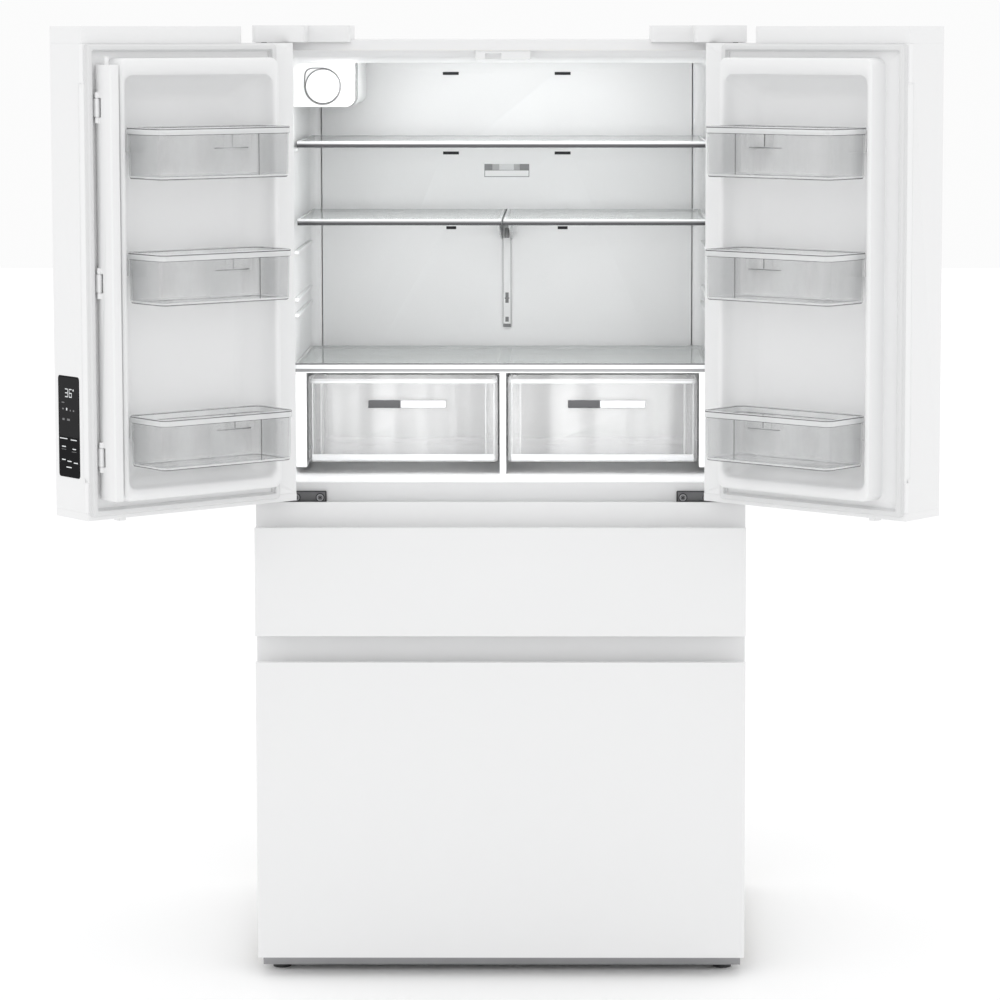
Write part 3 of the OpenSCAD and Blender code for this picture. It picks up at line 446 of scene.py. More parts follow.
softened("cabinet_shell", "cabinet", "white_paint", [enamel], 3 * mm, along_y)
for drawer in ("middle_drawer", "freezer_drawer"):
    softened(drawer + "_front", drawer, "white_paint", [enamel], 1.6 * mm, along_x)
softened("hinge_covers", "cabinet", "white_paint", [enamel], 1.5 * mm)
softened("door_hinges", "cabinet", "zinc_steel", [hinge_steel], 0.6 * mm)
for side in ("left", "right"):
    softened(side + "_door_skin", side + "_door", "white_paint", [enamel], 0.4 * mm)
    softened(side + "_door_caps", side + "_door", "white_paint", [enamel], 1.5 * mm)

# %% [markdown]
# ## Bracket faces and screw rings
# The centre hinges show below the open doors. A stamped plate has a bent rim, and its screws sit
# in pressed rings. At this size these read as dark lines, so they are painted shade: near-black thin pieces on the
# plate.

# %% Lay the painted shade of the rims, and the screw rings
plate_z = (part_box("left_door_caps")[0].z - 10.5 * mm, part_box("left_door_caps")[0].z + 9.5 * mm)
plate_y = case_y - 5 * mm
plate_x = (half_width - 125 * mm, half_width - 58 * mm)
bm = bmesh.new()
for side_x in (-1, 1):
    xs = sorted(side_x * v for v in plate_x)
    for z in plate_z:
        rounded_block(bm, (xs[0], plate_y - 1.2 * mm, z - 1.1 * mm), (xs[1], plate_y + 0.3 * mm, z + 1.1 * mm),
                      0.4 * mm)
    outer = side_x * plate_x[0]
    rounded_block(bm, (outer - 1.1 * mm, plate_y - 1.2 * mm, plate_z[0]),
                  (outer + 1.1 * mm, plate_y + 0.3 * mm, plate_z[1]),
                  0.4 * mm)
rim_shade = new_piece("hinge_plate_rim_shade", bm, [rail_dark])
carry(rim_shade, "cabinet", "zinc_steel")


def screw_ring(bm, centre, radii, slots):
    """Rings of a pressed screw seat seen from the front, from the outside in."""
    rows = []
    for radius, y in radii:
        turns = [2 * math.pi * i / 32 for i in range(32)]
        rows.append([(centre[0] + radius * math.cos(t), centre[1] + y, centre[2] + radius * math.sin(t))
                     for t in turns])
    loft(bm, rows, close_last=True, slots=slots)


bm = bmesh.new()
for side_x in (-1, 1):
    for reach_in in (69, 114):
        centre = (side_x * (half_width - reach_in * mm), case_y - 8 * mm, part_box("left_door_caps")[0].z - 2.0 * mm)
        # The outer ring, the centre and the cross are near black, a painted shade of the pressed groove and the screw's
        # recess; the zinc and steel rings are the metal.
        screw_ring(bm, centre, ((8.2 * mm, 3 * mm), (8.2 * mm, -0.2 * mm),
                                (6.6 * mm, -0.6 * mm), (6.2 * mm, -0.2 * mm),
                                (4.6 * mm, -0.4 * mm), (2.2 * mm, -0.4 * mm), (1.6 * mm, 0.2 * mm)), [0, 0, 1, 1, 2, 2])
        for turn in (45, 135):
            made = len(bm.verts)
            rounded_block(bm, (-3.4 * mm, -0.6 * mm, -0.9 * mm), (3.4 * mm, 0.2 * mm, 0.9 * mm), 0.3 * mm, 0)
            bm.verts.ensure_lookup_table()
            move = Matrix.Translation(Vector(centre)) @ Matrix.Rotation(math.radians(turn), 4, "Y")
            for vert in bm.verts[made:]:
                vert.co = move @ vert.co
seats = new_piece("hinge_screw_seats", bm, [rail_dark, zinc, hinge_steel])
carry(seats, "cabinet", "zinc_steel")

# %% [markdown]
# ## Fridge liner
# The food space is one sheet of plastic sucked down over a mould, so every inner corner is round.
# It could be a box with bevels, but the ceiling steps down behind a throat and the back opens into
# the air duct. A loft of rounded rings from front to back follows all of that.

# %% Form the fridge liner
ceiling_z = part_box("air_duct_panel")[1].z + 2 * mm
step_y = case_y + 40 * mm


def liner_ring(y, half, low, high, bottom_r, top_r):
    ring = rounded_ring((-half, low), (half, high), (bottom_r, top_r), 8)
    return [(x, y, z) for x, z in ring]


bm = bmesh.new()
lip = 1.4 * mm
stations = [
    liner_ring(case_y + 0.2 * mm, opening_half + lip, floor_z - lip, throat_z + lip, 10 * mm, 10 * mm),
    liner_ring(case_y + 0.8 * mm, opening_half + 0.4 * mm, floor_z - 0.4 * mm, throat_z, 10 * mm, 10 * mm),
    liner_ring(case_y + 3 * mm, opening_half, floor_z, throat_z, 10 * mm, 10 * mm),
    liner_ring(step_y - 4 * mm, opening_half, floor_z, throat_z, 10 * mm, 12 * mm),
    liner_ring(step_y - 1 * mm, opening_half, floor_z, throat_z - 1.5 * mm, 10 * mm, 13 * mm),
    liner_ring(step_y + 1 * mm, opening_half, floor_z, throat_z - 5 * mm, 10 * mm, 14 * mm),
    liner_ring(step_y + 3 * mm, opening_half, floor_z, throat_z - 11 * mm, 10 * mm, 16 * mm),
    liner_ring(step_y + 12 * mm, opening_half, floor_z, throat_z - 15 * mm, 10 * mm, 18 * mm),
    liner_ring(step_y + 38 * mm, opening_half, floor_z, ceiling_z, 10 * mm, 20 * mm),
]
for turn in range(0, 91, 15):
    inset = 20 * mm * (1 - math.cos(math.radians(turn)))
    depth_y = liner_back_y - 20 * mm * (1 - math.sin(math.radians(turn)))
    stations.append(liner_ring(depth_y, opening_half - inset, floor_z + inset * 0.45, ceiling_z,
                               10 * mm, 20 * mm - inset * 0.5))
stations.append(liner_ring(liner_back_y, duct_half, floor_z + 10 * mm, ceiling_z, 2 * mm, 3 * mm))
stations.append(liner_ring(liner_back_y + 31 * mm, duct_half, floor_z + 10 * mm, ceiling_z, 2 * mm, 3 * mm))
loft(bm, stations, close_last=True)
cover_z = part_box("crisper_cover_trim")[1].z
for z in (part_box("top_shelf_trim")[0].z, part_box("half_shelf_trims")[0].z, cover_z + 124 * mm, cover_z + 94 * mm):
    for side_x in (-1, 1):
        outer = side_x * (opening_half + 0.5 * mm)
        inner = side_x * (opening_half - 8 * mm)
        rounded_block(bm, (min(outer, inner), case_y + 132 * mm, z - 7 * mm),
                      (max(outer, inner), case_y + 500 * mm, z), 2.5 * mm)
liner = new_piece("fridge_liner_formed", bm, [liner_white], 40)
carry(liner, "cabinet", "white_liner", "fridge_liner")
print("liner faces:", len(liner.data.polygons))

# %% [markdown]
# ## Air duct panel and its badge
# A flat panel covers the evaporator and blows air through slots. On the real one a small plate
# carries words, and here the plate is plain: a flat bar in bands from dark to bright and back,
# a painted satin sheen, over an outlined white field.

# %% Finish the duct panel
softened("air_duct_panel", "cabinet", "white_liner", [liner_white], 0.6 * mm)
panel_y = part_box("air_duct_panel")[0].y
bm = bmesh.new()
badge_top = ceiling_z - 206 * mm
# Dark ends, grey between and a bright middle: these bands are a painted satin sheen.
sheen_bands = ((-45, -29, 0), (-29, -15, 1), (-15, 14, 3), (14, 26, 1), (26, 45, 0))
for left, right, slot in sheen_bands:
    rounded_block(bm, (left * mm, panel_y - 1.0 * mm, badge_top - 12 * mm), (right * mm, panel_y, badge_top),
                  0.2 * mm, slot)
rounded_block(bm, (-45 * mm, panel_y - 0.6 * mm, badge_top - 26 * mm), (45 * mm, panel_y, badge_top - 12 * mm),
              slot=0)
rounded_block(bm, (-43.8 * mm, panel_y - 0.9 * mm, badge_top - 24.8 * mm),
              (43.8 * mm, panel_y, badge_top - 13.0 * mm), slot=2)
badge = new_piece("duct_badge", bm, [rail_grey, line_grey, liner_white, rail_pale])
carry(badge, "cabinet", "shelf_trim")

# %% Line each air slot with a near-black sheet, a painted shade inside the slot
bm = bmesh.new()
for side_x in (-1, 1):
    for drop, half_slot in ((25, 16), (184, 16), (334, 10)):
        z = ceiling_z - drop * mm
        x = side_x * 112 * mm
        rounded_block(bm, (x - half_slot * mm, panel_y + 3.2 * mm, z - 5 * mm),
                      (x + half_slot * mm, panel_y + 4.2 * mm, z + 5 * mm), 0.3 * mm)
slot_shade = new_piece("air_slot_shade", bm, [shadow_gap])
carry(slot_shade, "cabinet", "black_plastic")

# %% [markdown]
# ## Shelves
# Each shelf is a sheet of glass held in a frame. The frame's front rail is a pale band over a dark
# line. Extra cuts along the rail give each colour its own faces, so no picture has to be mapped.


# %% Paint the rails in bands
def banded(node, bands, depth=20 * mm):
    """Rounds a shelf frame and paints its front rail in bands. A band is its top and its slot."""
    low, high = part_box(node)

    def paint(point, normal):
        if point.y > low.y + depth:
            return 0
        return next((slot for top, slot in bands if point.z <= high.z - top * mm), 0)

    cuts = [((0, 0, high.z - top * mm), (0, 0, 1)) for top, _ in bands if top]
    cuts.append(((0, low.y + depth, 0), (0, 1, 0)))
    return softened(node, "cabinet", "shelf_trim", [rail_pale, rail_grey, rail_dark, moulded_white], 1.2 * mm,
                    along_x, paint, cuts)


banded("top_shelf_trim", ((6.5, 2), (4.5, 1), (0, 0)))
banded("half_shelf_trims", ((6.5, 2), (4, 1), (0, 0)))
banded("crisper_cover_trim", ((16, 3), (10, 1), (2.2, 0), (0, 2)))
glass_low, glass_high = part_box("top_shelf_glass")
print("shelf glass thickness %.1f mm" % ((glass_high.z - glass_low.z) / mm))

# %% [markdown]
# ## Door liner
# The inside of a door is another formed sheet: a flat rim that carries the gasket, a ridge that
# reaches into the cabinet, and a hollow whose walls lean outwards so the sheet leaves its mould.
# It is lofted shut, ring by ring from the rim to the floor of the hollow.

# %% Measure the shut door
door_gap = 2 * mm
door_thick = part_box("middle_drawer_core")[1].y - front_y
hinge_edge = -half_width
free_edge = -door_gap
inner_y = front_y + door_thick
skin_low, skin_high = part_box("left_door_skin")
rim_low = skin_low.z
rim_high = skin_high.z
ridge_h = 42 * mm
hollow_d = 26 * mm
grip_sink = 3.5 * mm
ridge_x = (hinge_edge + 61 * mm, free_edge - 51 * mm)
ridge_z = (floor_z + 13 * mm, throat_z - 11 * mm)


grip_r = 36 * mm
grip_z = (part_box("left_door_caps")[0].z + 75 * mm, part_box("left_door_skin")[1].z - 70 * mm)


def grip_dip(height):
    """How far the round finger grip cuts into the free edge at a height over the inner plane."""
    return grip_sink - grip_r + math.sqrt(grip_r ** 2 - height ** 2)


def door_ring(left, right, low, high, radius, height, dip=0.0):
    ring = rounded_ring((left, low), (right, high), (radius, radius), 7)
    ends = [min(max(z, low + radius + 4 * mm), high - radius - 4 * mm) for z in grip_z]
    ring[8:8] = [(right, ends[0] - 2 * mm), (right - dip, ends[0]),
                 (right - dip, ends[1]), (right, ends[1] + 2 * mm)]
    return [(x, inner_y + height, z) for x, z in ring]


def ridge_ring(inset, height, radius=16 * mm, lower=0.0, upper=0.0):
    return door_ring(ridge_x[0] + inset, ridge_x[1] - inset, ridge_z[0] + inset + lower,
                     ridge_z[1] - inset - upper, radius, height)


# %% Loft one door liner
def door_liner(side):
    bm = bmesh.new()
    edge = (hinge_edge, free_edge, rim_low, rim_high)
    rim_heights = (-8 * mm, -4 * mm, -1.2 * mm)
    sheet = 1.05 * mm
    core = (edge[0] + sheet, edge[1] - sheet, edge[2], edge[3])
    rings = [door_ring(*core, 1 * mm, h * mm, max(0.0, grip_dip(h * mm) - sheet))
             for h in (-16, -14, -12, -10, -8.1)]
    rings += [door_ring(*edge, 1 * mm, h, grip_dip(h)) for h in rim_heights]
    rings += [
        door_ring(edge[0] + 1.2 * mm, edge[1] - 1.2 * mm, edge[2] + 0.2 * mm, edge[3] - 0.2 * mm, 2 * mm, 0, grip_sink),
        ridge_ring(-2.5 * mm, 0, 18 * mm),
        ridge_ring(-0.8 * mm, 0.6 * mm, 17 * mm),
        ridge_ring(0, 3 * mm),
        ridge_ring(0, ridge_h - 5 * mm),
        ridge_ring(1.2 * mm, ridge_h - 1.6 * mm),
        ridge_ring(4 * mm, ridge_h),
        ridge_ring(7 * mm, ridge_h, lower=3 * mm, upper=6 * mm),
        ridge_ring(10 * mm, ridge_h - 1.2 * mm, 16 * mm, 7 * mm, 14 * mm),
        ridge_ring(12.5 * mm, ridge_h - 5 * mm, 17 * mm, 8 * mm, 17 * mm),
    ]
    for step in range(1, 9):
        part = step / 8
        lean = 34 * mm * part ** 1.6
        rings.append(ridge_ring(12.5 * mm + lean, ridge_h - 5 * mm - (ridge_h + hollow_d - 9 * mm) * part ** 0.8,
                                17 * mm + 8 * mm * part, 8 * mm, 17 * mm))
    rings.append(ridge_ring(54 * mm, -hollow_d + 1 * mm, 24 * mm, 8 * mm, 17 * mm))
    rings.append(ridge_ring(60 * mm, -hollow_d, 22 * mm, 8 * mm, 17 * mm))
    loft(bm, rings, close_last=True)
    for bin_z in bin_bottoms:
        rounded_block(bm, (hinge_edge + 96 * mm, inner_y - hollow_d, bin_z + 46 * mm),
                      (hinge_edge + 137 * mm, inner_y + 3 * mm, bin_z + 86 * mm), 3 * mm)
        rounded_block(bm, (free_edge - 128 * mm, inner_y - hollow_d, bin_z + 46 * mm),
                      (free_edge - 90 * mm, inner_y + 3 * mm, bin_z + 86 * mm), 3 * mm)
    piece = new_piece(side + "_door_liner_formed", bm, [liner_white], 40)
    to_door(piece, side)
    return carry(piece, side + "_door", "white_liner", side + "_door_liner")


bins_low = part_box("left_door_bins")[0].z
bins_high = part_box("left_door_bins")[1].z
bin_h = 91 * mm
bin_bottoms = (bins_low, bins_low + 290 * mm, bins_high - bin_h)
for side in ("left", "right"):
    door_liner(side)
print("ridge z %.3f to %.3f" % ridge_z)

# %% [markdown]
# ## Gaskets
# A magnetic gasket is an extruded strip mitred at the corners: a foot in the door, a soft bellows
# and a flat face that touches the cabinet. Rings again, one per fold of the bellows.


# %% Loft a gasket with its bellows
def gasket(name, left, right, low, high, y, depth, materials):
    bm = bmesh.new()
    profile = (
        (0, 0), (0, 3), (1.5, 4), (2.2, 5), (1.4, 6.2), (2.2, 7.4), (1.6, 8.6), (2.0, depth - 1.5), (2.8, depth - 0.4),
        (4, depth), (9, depth), (10.2, depth - 0.4), (11, depth - 1.5), (11.4, 8.6), (10.8, 7.4), (11.6, 6.2),
        (10.8, 5), (12, 4), (14, 3), (14, 0),
    )
    rings = []
    for inset, height in profile:
        ring = rounded_ring((left + inset * mm, low + inset * mm), (right - inset * mm, high - inset * mm),
                            (max(6 - inset * 0.3, 1) * mm,) * 2, 3)
        rings.append([(x, y + height * mm, z) for x, z in ring])
    loft(bm, rings)
    return new_piece(name, bm, materials, 60)


for side in ("left", "right"):
    strip = gasket(side + "_door_gasket_formed", hinge_edge + 42.5 * mm, free_edge - 4 * mm, floor_z - 14 * mm,
                   throat_z + 14 * mm, inner_y, 11.5, [gasket_rubber])
    carry(to_door(strip, side), side + "_door", "seal_grey", side + "_door_gasket")
for drawer in ("middle_drawer", "freezer_drawer"):
    low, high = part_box(drawer + "_gasket")
    strip = gasket(drawer + "_gasket_formed", low.x, high.x, low.z, high.z, low.y, 11.5, [gasket_rubber])
    carry(strip, drawer, "seal_grey", drawer + "_gasket")

# %% [markdown]
# ## Door bins
# A bin is an injection-moulded clear tub. Its walls lean out a little, a collar runs round the
# top, and the floor has a thick bead. Along the top and bottom edges the tub is painted in dark lines, a painted
# reflection, and bright bands, a painted highlight.


# %% Mould a clear tub
def clear_tub(bm, low, high, radius, wall, collar, steps=6):
    """Outer wall from the foot up, over the rim and down the inner wall.

    Slot 0 is the walls, 1 the dark lines of the edges, a painted reflection, and 2 the bright bands beside them, a
    painted highlight.
    """
    def ring(inset, z, r):
        points = rounded_ring((low[0] + inset, low[1] + inset), (high[0] - inset, high[1] - inset), (r, r), steps)
        return [(x, y, z) for x, y in points]

    lean = 3 * mm
    top = high[2]
    rows = [
        (lean + 3 * mm, low[2], radius - 3 * mm, 1),
        (lean + 0.8 * mm, low[2] + 0.6 * mm, radius, 1),
        (lean + 0.1 * mm, low[2] + 2.2 * mm, radius, 2),
        (lean * 0.8, low[2] + 5.5 * mm, radius, 0),
        (1.6 * mm, top - collar - 1.2 * mm, radius, 1),
        (0.2 * mm, top - collar, radius, 2),
        (0, top - 3.2 * mm, radius, 1),
        (0.2 * mm, top - 1.2 * mm, radius, 2),
        (wall * 0.5, top, radius - wall * 0.5, 0),
        (wall, top - 0.8 * mm, radius - wall, 0),
        (wall + 1.6 * mm, top - collar, radius - wall, 0),
        (lean + wall, low[2] + 5 * mm, radius - wall, 0),
        (lean + wall + 4 * mm, low[2] + wall, radius - wall - 3 * mm, 0),
    ]
    loft(bm, [ring(a, z, max(r, 1 * mm)) for a, z, r, _ in rows], close_first=True, close_last=True,
         slots=[slot for _, _, _, slot in rows])


bin_x = (hinge_edge + 88 * mm, hinge_edge + 371 * mm)
bin_y = (inner_y + 4 * mm, inner_y + 122 * mm)
for side in ("left", "right"):
    bm = bmesh.new()
    for bin_z in bin_bottoms:
        clear_tub(bm, (bin_x[0], bin_y[0], bin_z), (bin_x[1], bin_y[1], bin_z + bin_h), 16 * mm, 2.4 * mm, 12 * mm)
        rounded_block(bm, (bin_x[0] + 52 * mm, bin_y[0] + 2.2 * mm, bin_z + 52 * mm),
                      (bin_x[0] + 54 * mm, bin_y[0] + 3.6 * mm, bin_z + bin_h - 14 * mm), 0.5 * mm, 1)
        rounded_block(bm, (bin_x[0] + 18 * mm, bin_y[0] + 2.2 * mm, bin_z + 49 * mm),
                      (bin_x[0] + 92 * mm, bin_y[0] + 3.4 * mm, bin_z + 51 * mm), 0.5 * mm, 1)
        rounded_block(bm, (bin_x[0] + 72 * mm, bin_y[1] - 4.0 * mm, bin_z + 4 * mm),
                      (bin_x[0] + 73.4 * mm, bin_y[1] - 2.6 * mm, bin_z + bin_h - 11 * mm), 0.4 * mm, 1)
        bm.normal_update()
    # Faces that look along the door take the darker end finish, a painted shade on that side of each bin.
    for face in bm.faces:
        if face.material_index == 0 and abs(face.normal.x) > 0.8:
            face.material_index = 3
    piece = new_piece(side + "_door_bins_moulded", bm, [clear_wall, clear_edge_reflection, clear_highlight, clear_end_shade], 45)
    carry(to_door(piece, side), side + "_door", "clear_plastic", side + "_door_bins")
print("bins per door:", len(bin_bottoms))

# %% [markdown]
# ## Control panel
# The touch panel sits in the free edge of the left door. It is a black glass plate with a smoky
# window above and touch marks below. The temperature is drawn in bars as a number display is, and
# the words of the real panel are plain dashes here.

# %% Lay out the control panel
panel_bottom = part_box("control_panel")[0].z
panel_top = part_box("control_panel")[1].z
panel_y0 = front_y + 15 * mm
panel_w = 70 * mm
panel_h = panel_top - panel_bottom
face_x = free_edge


def panel_plate(bm, across, up, radius, sink, proud, slot):
    """A rounded plate in the door's free edge. across and up are fractions of the panel."""
    low = (panel_y0 + across[0] * panel_w, panel_bottom + up[0] * panel_h)
    high = (panel_y0 + across[1] * panel_w, panel_bottom + up[1] * panel_h)
    rows = []
    for inset, x in ((0, face_x - sink), (0, face_x + proud - 0.3 * mm), (0.3 * mm, face_x + proud)):
        ring = rounded_ring((low[0] + inset, low[1] + inset),
                            (high[0] - inset, high[1] - inset), (radius, radius), 5)
        rows.append([(x, y, z) for y, z in ring])
    loft(bm, rows, close_first=True, close_last=True, slots=[slot] * 2)
    for face in bm.faces:
        if (face.material_index == 0 and len(face.verts) > 4
                and face.calc_center_median().x > face_x + proud - 0.01 * mm):
            face.material_index = slot


bm = bmesh.new()
panel_plate(bm, (0.005, 0.995), (0.002, 0.998), 5.5 * mm, 2.6 * mm, 0.3 * mm, 0)
panel = new_piece("control_panel_glass", bm, [panel_black])
carry(to_door(panel, "left"), "left_door", "display_glass", "control_panel")
bm = bmesh.new()
panel_plate(bm, (0.03, 0.97), (0.40, 0.985), 4.5 * mm, 0.1 * mm, 0.42 * mm, 0)
window = new_piece("control_panel_window", bm, [window_grey])
carry(to_door(window, "left"), "left_door", "display_glass")


# %% Draw the temperature and the touch marks
def mark(bm, across, up, slot=0):
    """A small raised dash on the panel, in fractions of its width and height."""
    rounded_block(bm, (face_x + 0.3 * mm, panel_y0 + across[0] * panel_w, panel_bottom + up[0] * panel_h),
                  (face_x + 0.6 * mm, panel_y0 + across[1] * panel_w, panel_bottom + up[1] * panel_h), 0.12 * mm, slot)


SEGMENTS = {"3": "abcdg", "6": "acdefg"}


def digit(bm, value, left, bottom, width, height):
    """One seven-bar digit."""
    bar = 0.018
    tall = bar * panel_w / panel_h * 1.3
    half = height / 2
    places = {
        "a": ((left, left + width), (bottom + height - tall, bottom + height)),
        "g": ((left, left + width), (bottom + half - tall / 2, bottom + half + tall / 2)),
        "d": ((left, left + width), (bottom, bottom + tall)),
        "b": ((left + width - bar, left + width), (bottom + half, bottom + height)),
        "c": ((left + width - bar, left + width), (bottom, bottom + half)),
        "e": ((left, left + bar), (bottom, bottom + half)),
        "f": ((left, left + bar), (bottom + half, bottom + height)),
    }
    for name in SEGMENTS[value]:
        mark(bm, *places[name])


bm = bmesh.new()
digit(bm, "3", 0.34, 0.79, 0.13, 0.085)
digit(bm, "6", 0.52, 0.79, 0.13, 0.085)
for across in ((0.70, 0.745),):
    mark(bm, across, (0.855, 0.873))
dashes = (
    ((0.38, 0.43), (0.66, 0.685), 0), ((0.17, 0.30), (0.73, 0.74), 1), ((0.20, 0.27), (0.665, 0.68), 1),
    ((0.55, 0.60), (0.655, 0.67), 1), ((0.70, 0.76), (0.655, 0.67), 1), ((0.20, 0.30), (0.56, 0.58), 1),
    ((0.42, 0.55), (0.56, 0.58), 1), ((0.06, 0.42), (0.375, 0.384), 0), ((0.58, 0.86), (0.37, 0.379), 0),
    ((0.16, 0.34), (0.295, 0.305), 0), ((0.66, 0.82), (0.28, 0.29), 0), ((0.14, 0.36), (0.27, 0.275), 1),
    ((0.62, 0.84), (0.255, 0.26), 1), ((0.15, 0.32), (0.165, 0.175), 0), ((0.41, 0.60), (0.155, 0.165), 0),
    ((0.71, 0.90), (0.145, 0.155), 0), ((0.36, 0.60), (0.095, 0.105), 0),
)
for across, up, slot in dashes:
    mark(bm, across, up, slot)
marks = new_piece("control_panel_marks", bm, [lit_digit, dim_mark])
carry(to_door(marks, "left"), "left_door", "display_glass")

# %% [markdown]
# ## Flip mullion
# The bar on the left door folds flat when that door is open and turns out to meet both gaskets
# when it shuts. Its faces are moulded; the real bar also carries a painted steel strip for the magnets, and here the
# whole bar takes the moulded white finish.

# %% Finish the mullion
softened("mullion_bar", "mullion", "white_plastic", [moulded_white], 1.2 * mm, lambda p, d: abs(d.z) > 0.9)
softened("mullion_guide", "cabinet", "white_plastic", [moulded_white], 0.8 * mm)

# %% [markdown]
# ## Water filter
# The filter turns and pulls out of a housing under the ceiling. Its cap is a shallow dish with a
# rim, a grip ring and a raised drop, which is a common sign for water.

# %% Turn the filter cap
housing_low, housing_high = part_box("filter_housing")
shade_band_back = housing_low.y + 74 * mm


# Faces on the housing's right side near the front take the grey second slot: a painted shade of that side.
def housing_shade_paint(point, normal):
    return 1 if normal.x > 0.25 and point.y < shade_band_back and point.x > housing_high.x - 20 * mm else 0


softened("filter_housing", "cabinet", "white_plastic", [moulded_white, rail_grey], 1.5 * mm, None, housing_shade_paint,
         [((0, shade_band_back, 0), (0, 1, 0))])
cap_low, cap_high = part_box("water_filter")
cap_centre = Vector(joint["water_filter_turn"]["pos_m"])
cap_y = cap_low.y


def cap_ring(scale, y, squareness=0.0, count=72):
    """A ring round the cap. Squareness pushes the upper left quarter out to a corner."""
    points = []
    for i in range(count):
        turn = 2 * math.pi * i / count
        across, up = math.cos(turn), math.sin(turn)
        radius = 32 * mm * scale
        if squareness and across < 0 < up:
            power = 2 + squareness
            radius /= (abs(across) ** power + abs(up) ** power) ** (1 / power)
        points.append((cap_centre.x + radius * across, y, cap_centre.z + radius * up))
    return points


bm = bmesh.new()
cap_rows = ((0.75, 14.0), (0.985, 14.0), (0.985, 2.0), (0.975, 0.8), (0.95, 0.4), (0.60, 0.4), (0.58, 0.6))
loft(bm, [cap_ring(r, cap_y + y * mm) for r, y in cap_rows], close_last=True)
loft(bm, [cap_ring(0.75, cap_y + 14 * mm), cap_ring(0.75, cap_high.y - 1.5 * mm), cap_ring(0.68, cap_high.y)],
     close_last=True)
drop = []
for i in range(48):
    t = 2 * math.pi * i / 48
    wide = 10 * mm * math.sin(t) * math.sin(t / 2) ** 1.4
    tall = 12 * mm * math.cos(t)
    drop.append((wide, tall))
lean = math.radians(28)
rows = []
for shrink, y in ((1.0, 0.7), (1.0, 0.15), (0.88, 0.1), (0.86, 0.35)):
    ring = []
    for a, b in drop:
        across = (a * math.cos(lean) - b * math.sin(lean)) * shrink
        up = (a * math.sin(lean) + b * math.cos(lean)) * shrink
        ring.append((cap_centre.x + across, cap_y + y * mm, cap_centre.z + up))
    rows.append(ring)
loft(bm, rows, slots=[1, 1, 1])
cap = new_piece("water_filter_turned", bm, [moulded_white, line_grey], 40)
carry(cap, "water_filter", "white_plastic", "water_filter")

# %% Seat the cap in its outlined recess
bm = bmesh.new()
face_y = housing_low.y
seat_rows = ((1.11, 0.4), (1.10, -0.5), (1.045, -0.5), (1.03, 0.4))
loft(bm, [cap_ring(r, face_y + y * mm, 3.0) for r, y in seat_rows])
seat = new_piece("filter_seat_outline", bm, [rail_grey], 40)
carry(seat, "cabinet", "white_plastic")
print("cap front %.1f mm before the housing" % ((face_y - cap_y) / mm))

# %% [markdown]
# ## Crispers
# Two clear drawers sit under the glass cover. Their fronts are flat sheets with a finger lip along
# the foot, and they slide on moulded side frames. The name plates are left blank.

# %% Mould the crispers
softened("crisper_frames", "cabinet", "white_plastic", [moulded_white], 1.5 * mm)


def crisper(side):
    low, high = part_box(side + "_crisper")
    bm = bmesh.new()
    # As in the bins, the grey edge lines of the tub and of the front's rim are a painted reflection, and the tub's
    # frosted bands a painted highlight.
    clear_tub(bm, (low.x + 2 * mm, low.y + 5 * mm, low.z), (high.x - 2 * mm, high.y, high.z - 8 * mm), 12 * mm,
              2.6 * mm, 8 * mm)
    rows = []
    for inset, y in ((0.6, 6), (0, 5.2), (0, 0.9), (0.9, 0)):
        ring = rounded_ring((low.x + inset * mm, low.z + inset * mm), (high.x - inset * mm, high.z - inset * mm),
                            (5 * mm, 8 * mm), 6)
        rows.append([(x, low.y + y * mm, z) for x, z in ring])
    loft(bm, rows, close_first=True, close_last=True, slots=[0, 1, 0])
    rounded_block(bm, (low.x + 6 * mm, low.y + 0.2 * mm, low.z + 2 * mm),
                  (high.x - 6 * mm, low.y + 4 * mm, low.z + 14 * mm), 2 * mm, 2)
    rounded_block(bm, (low.x + 6 * mm, low.y + 0.2 * mm, low.z + 0.2 * mm),
                  (high.x - 6 * mm, low.y + 3 * mm, low.z + 1.6 * mm), 0.5 * mm, 1)
    for x in (low.x + 50 * mm, high.x - 56 * mm):
        rounded_block(bm, (x, low.y + 0.1 * mm, low.z + 0.4 * mm), (x + 10 * mm, low.y + 5 * mm, low.z + 8 * mm),
                      1 * mm, 2)
    for x in (low.x + 6 * mm, low.x + 22 * mm, high.x - 8 * mm, high.x - 24 * mm):
        rounded_block(bm, (x, low.y + 8 * mm, low.z + 12 * mm), (x + 2 * mm, low.y + 60 * mm, high.z - 14 * mm),
                      0.8 * mm, 2)
    piece = new_piece(side + "_crisper_moulded", bm, [crisper_wall, line_grey, frosted], 45)
    carry(piece, side + "_crisper", "clear_plastic", side + "_crisper")
    bm = bmesh.new()
    middle_x = (low.x + high.x) / 2 + 8 * mm
    plate_z = low.z + 0.62 * (high.z - low.z)
    width, height = 148 * mm, 15 * mm
    left = middle_x - width / 2
    rounded_block(bm, (left, low.y - 0.4 * mm, plate_z), (left + width * 0.41, low.y + 0.4 * mm, plate_z + height),
                  0.2 * mm, 0)
    rounded_block(bm, (left + width * 0.41, low.y - 0.3 * mm, plate_z),
                  (left + width, low.y + 0.4 * mm, plate_z + height),
                  0.2 * mm, 1)
    rounded_block(bm, (left + width * 0.42, low.y - 0.38 * mm, plate_z + 1 * mm),
                  (left + width - 1 * mm, low.y + 0.4 * mm, plate_z + height - 1 * mm), 0.2 * mm, 2)
    plate = new_piece(side + "_crisper_plate", bm, [rail_dark, rail_grey, frosted])
    carry(plate, side + "_crisper", "shelf_trim")


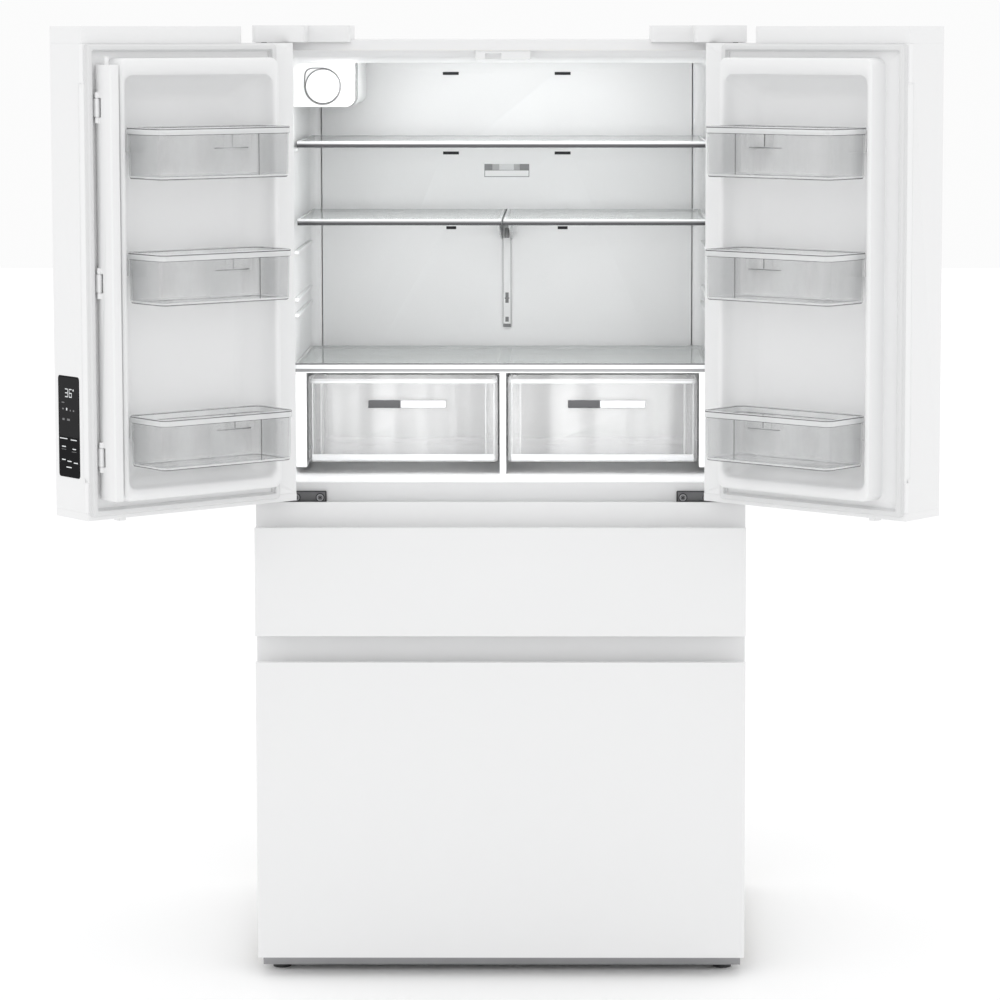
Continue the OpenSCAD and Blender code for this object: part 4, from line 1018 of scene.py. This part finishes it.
for side in ("left", "right"):
    crisper(side)

# %% [markdown]
# ## Drawer tubs and freezer basket
# The lower drawers hold frosted tubs, made as the bins are but thicker.

# %% Mould the drawer tubs
for node, body in (("middle_drawer_tub", "middle_drawer"), ("freezer_drawer_tub", "freezer_drawer"),
                   ("freezer_basket", "freezer_basket")):
    low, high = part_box(node)
    bm = bmesh.new()
    clear_tub(bm, low, high, 14 * mm, 3 * mm, 10 * mm)
    tub = new_piece(node + "_moulded", bm, [frosted, frosted, frosted], 45)
    carry(tub, body, "tub_plastic", node)

# %% [markdown]
# ## Shelf ladder
# A metal ladder at the back carries the inner edges of the two half shelves on hooked arms.

# %% Build the ladder and its block
ladder_low, ladder_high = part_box("shelf_ladder")
top_z = ladder_high.z


def ladder_part(bm, half, drops, proud, slot, side_x=None):
    """A rounded bar on the ladder, from one drop below its top to another."""
    low_x, high_x = (-half, half) if side_x is None else side_x
    rounded_block(bm, (low_x * mm, ladder_low.y - proud * mm, top_z - drops[1] * mm),
                  (high_x * mm, ladder_high.y, top_z - drops[0] * mm), 0.5 * mm, slot)


bm = bmesh.new()
ladder_part(bm, 7.4, (0, 240), 0, 0)
for side_x in ((-8.4, -7.4), (7.4, 8.4)):
    ladder_part(bm, 0, (2, 238), 0.3, 3, side_x)
for side_x in ((-22, -8.6), (8.6, 22)):
    ladder_part(bm, 0, (1, 46), 14, 0, side_x)
for half, drops, slot in ((4.6, (0, 19), 1), (2.2, (19, 38), 0), (4.6, (38, 58), 1), (3.4, (168, 178), 2),
                          (4.6, (178, 181), 2), (3.4, (181, 189), 2), (3.4, (217, 227), 2), (7.2, (231, 238), 2)):
    ladder_part(bm, half, drops, 1.2 if slot == 1 else 0.4, slot)
ladder = new_piece("shelf_ladder_formed", bm, [moulded_white, rail_grey, soft_grey, line_grey])
carry(ladder, "cabinet", "white_plastic", "shelf_ladder")

# %% [markdown]
# ## Finish

# %% Update the scene
bpy.context.view_layer.update()
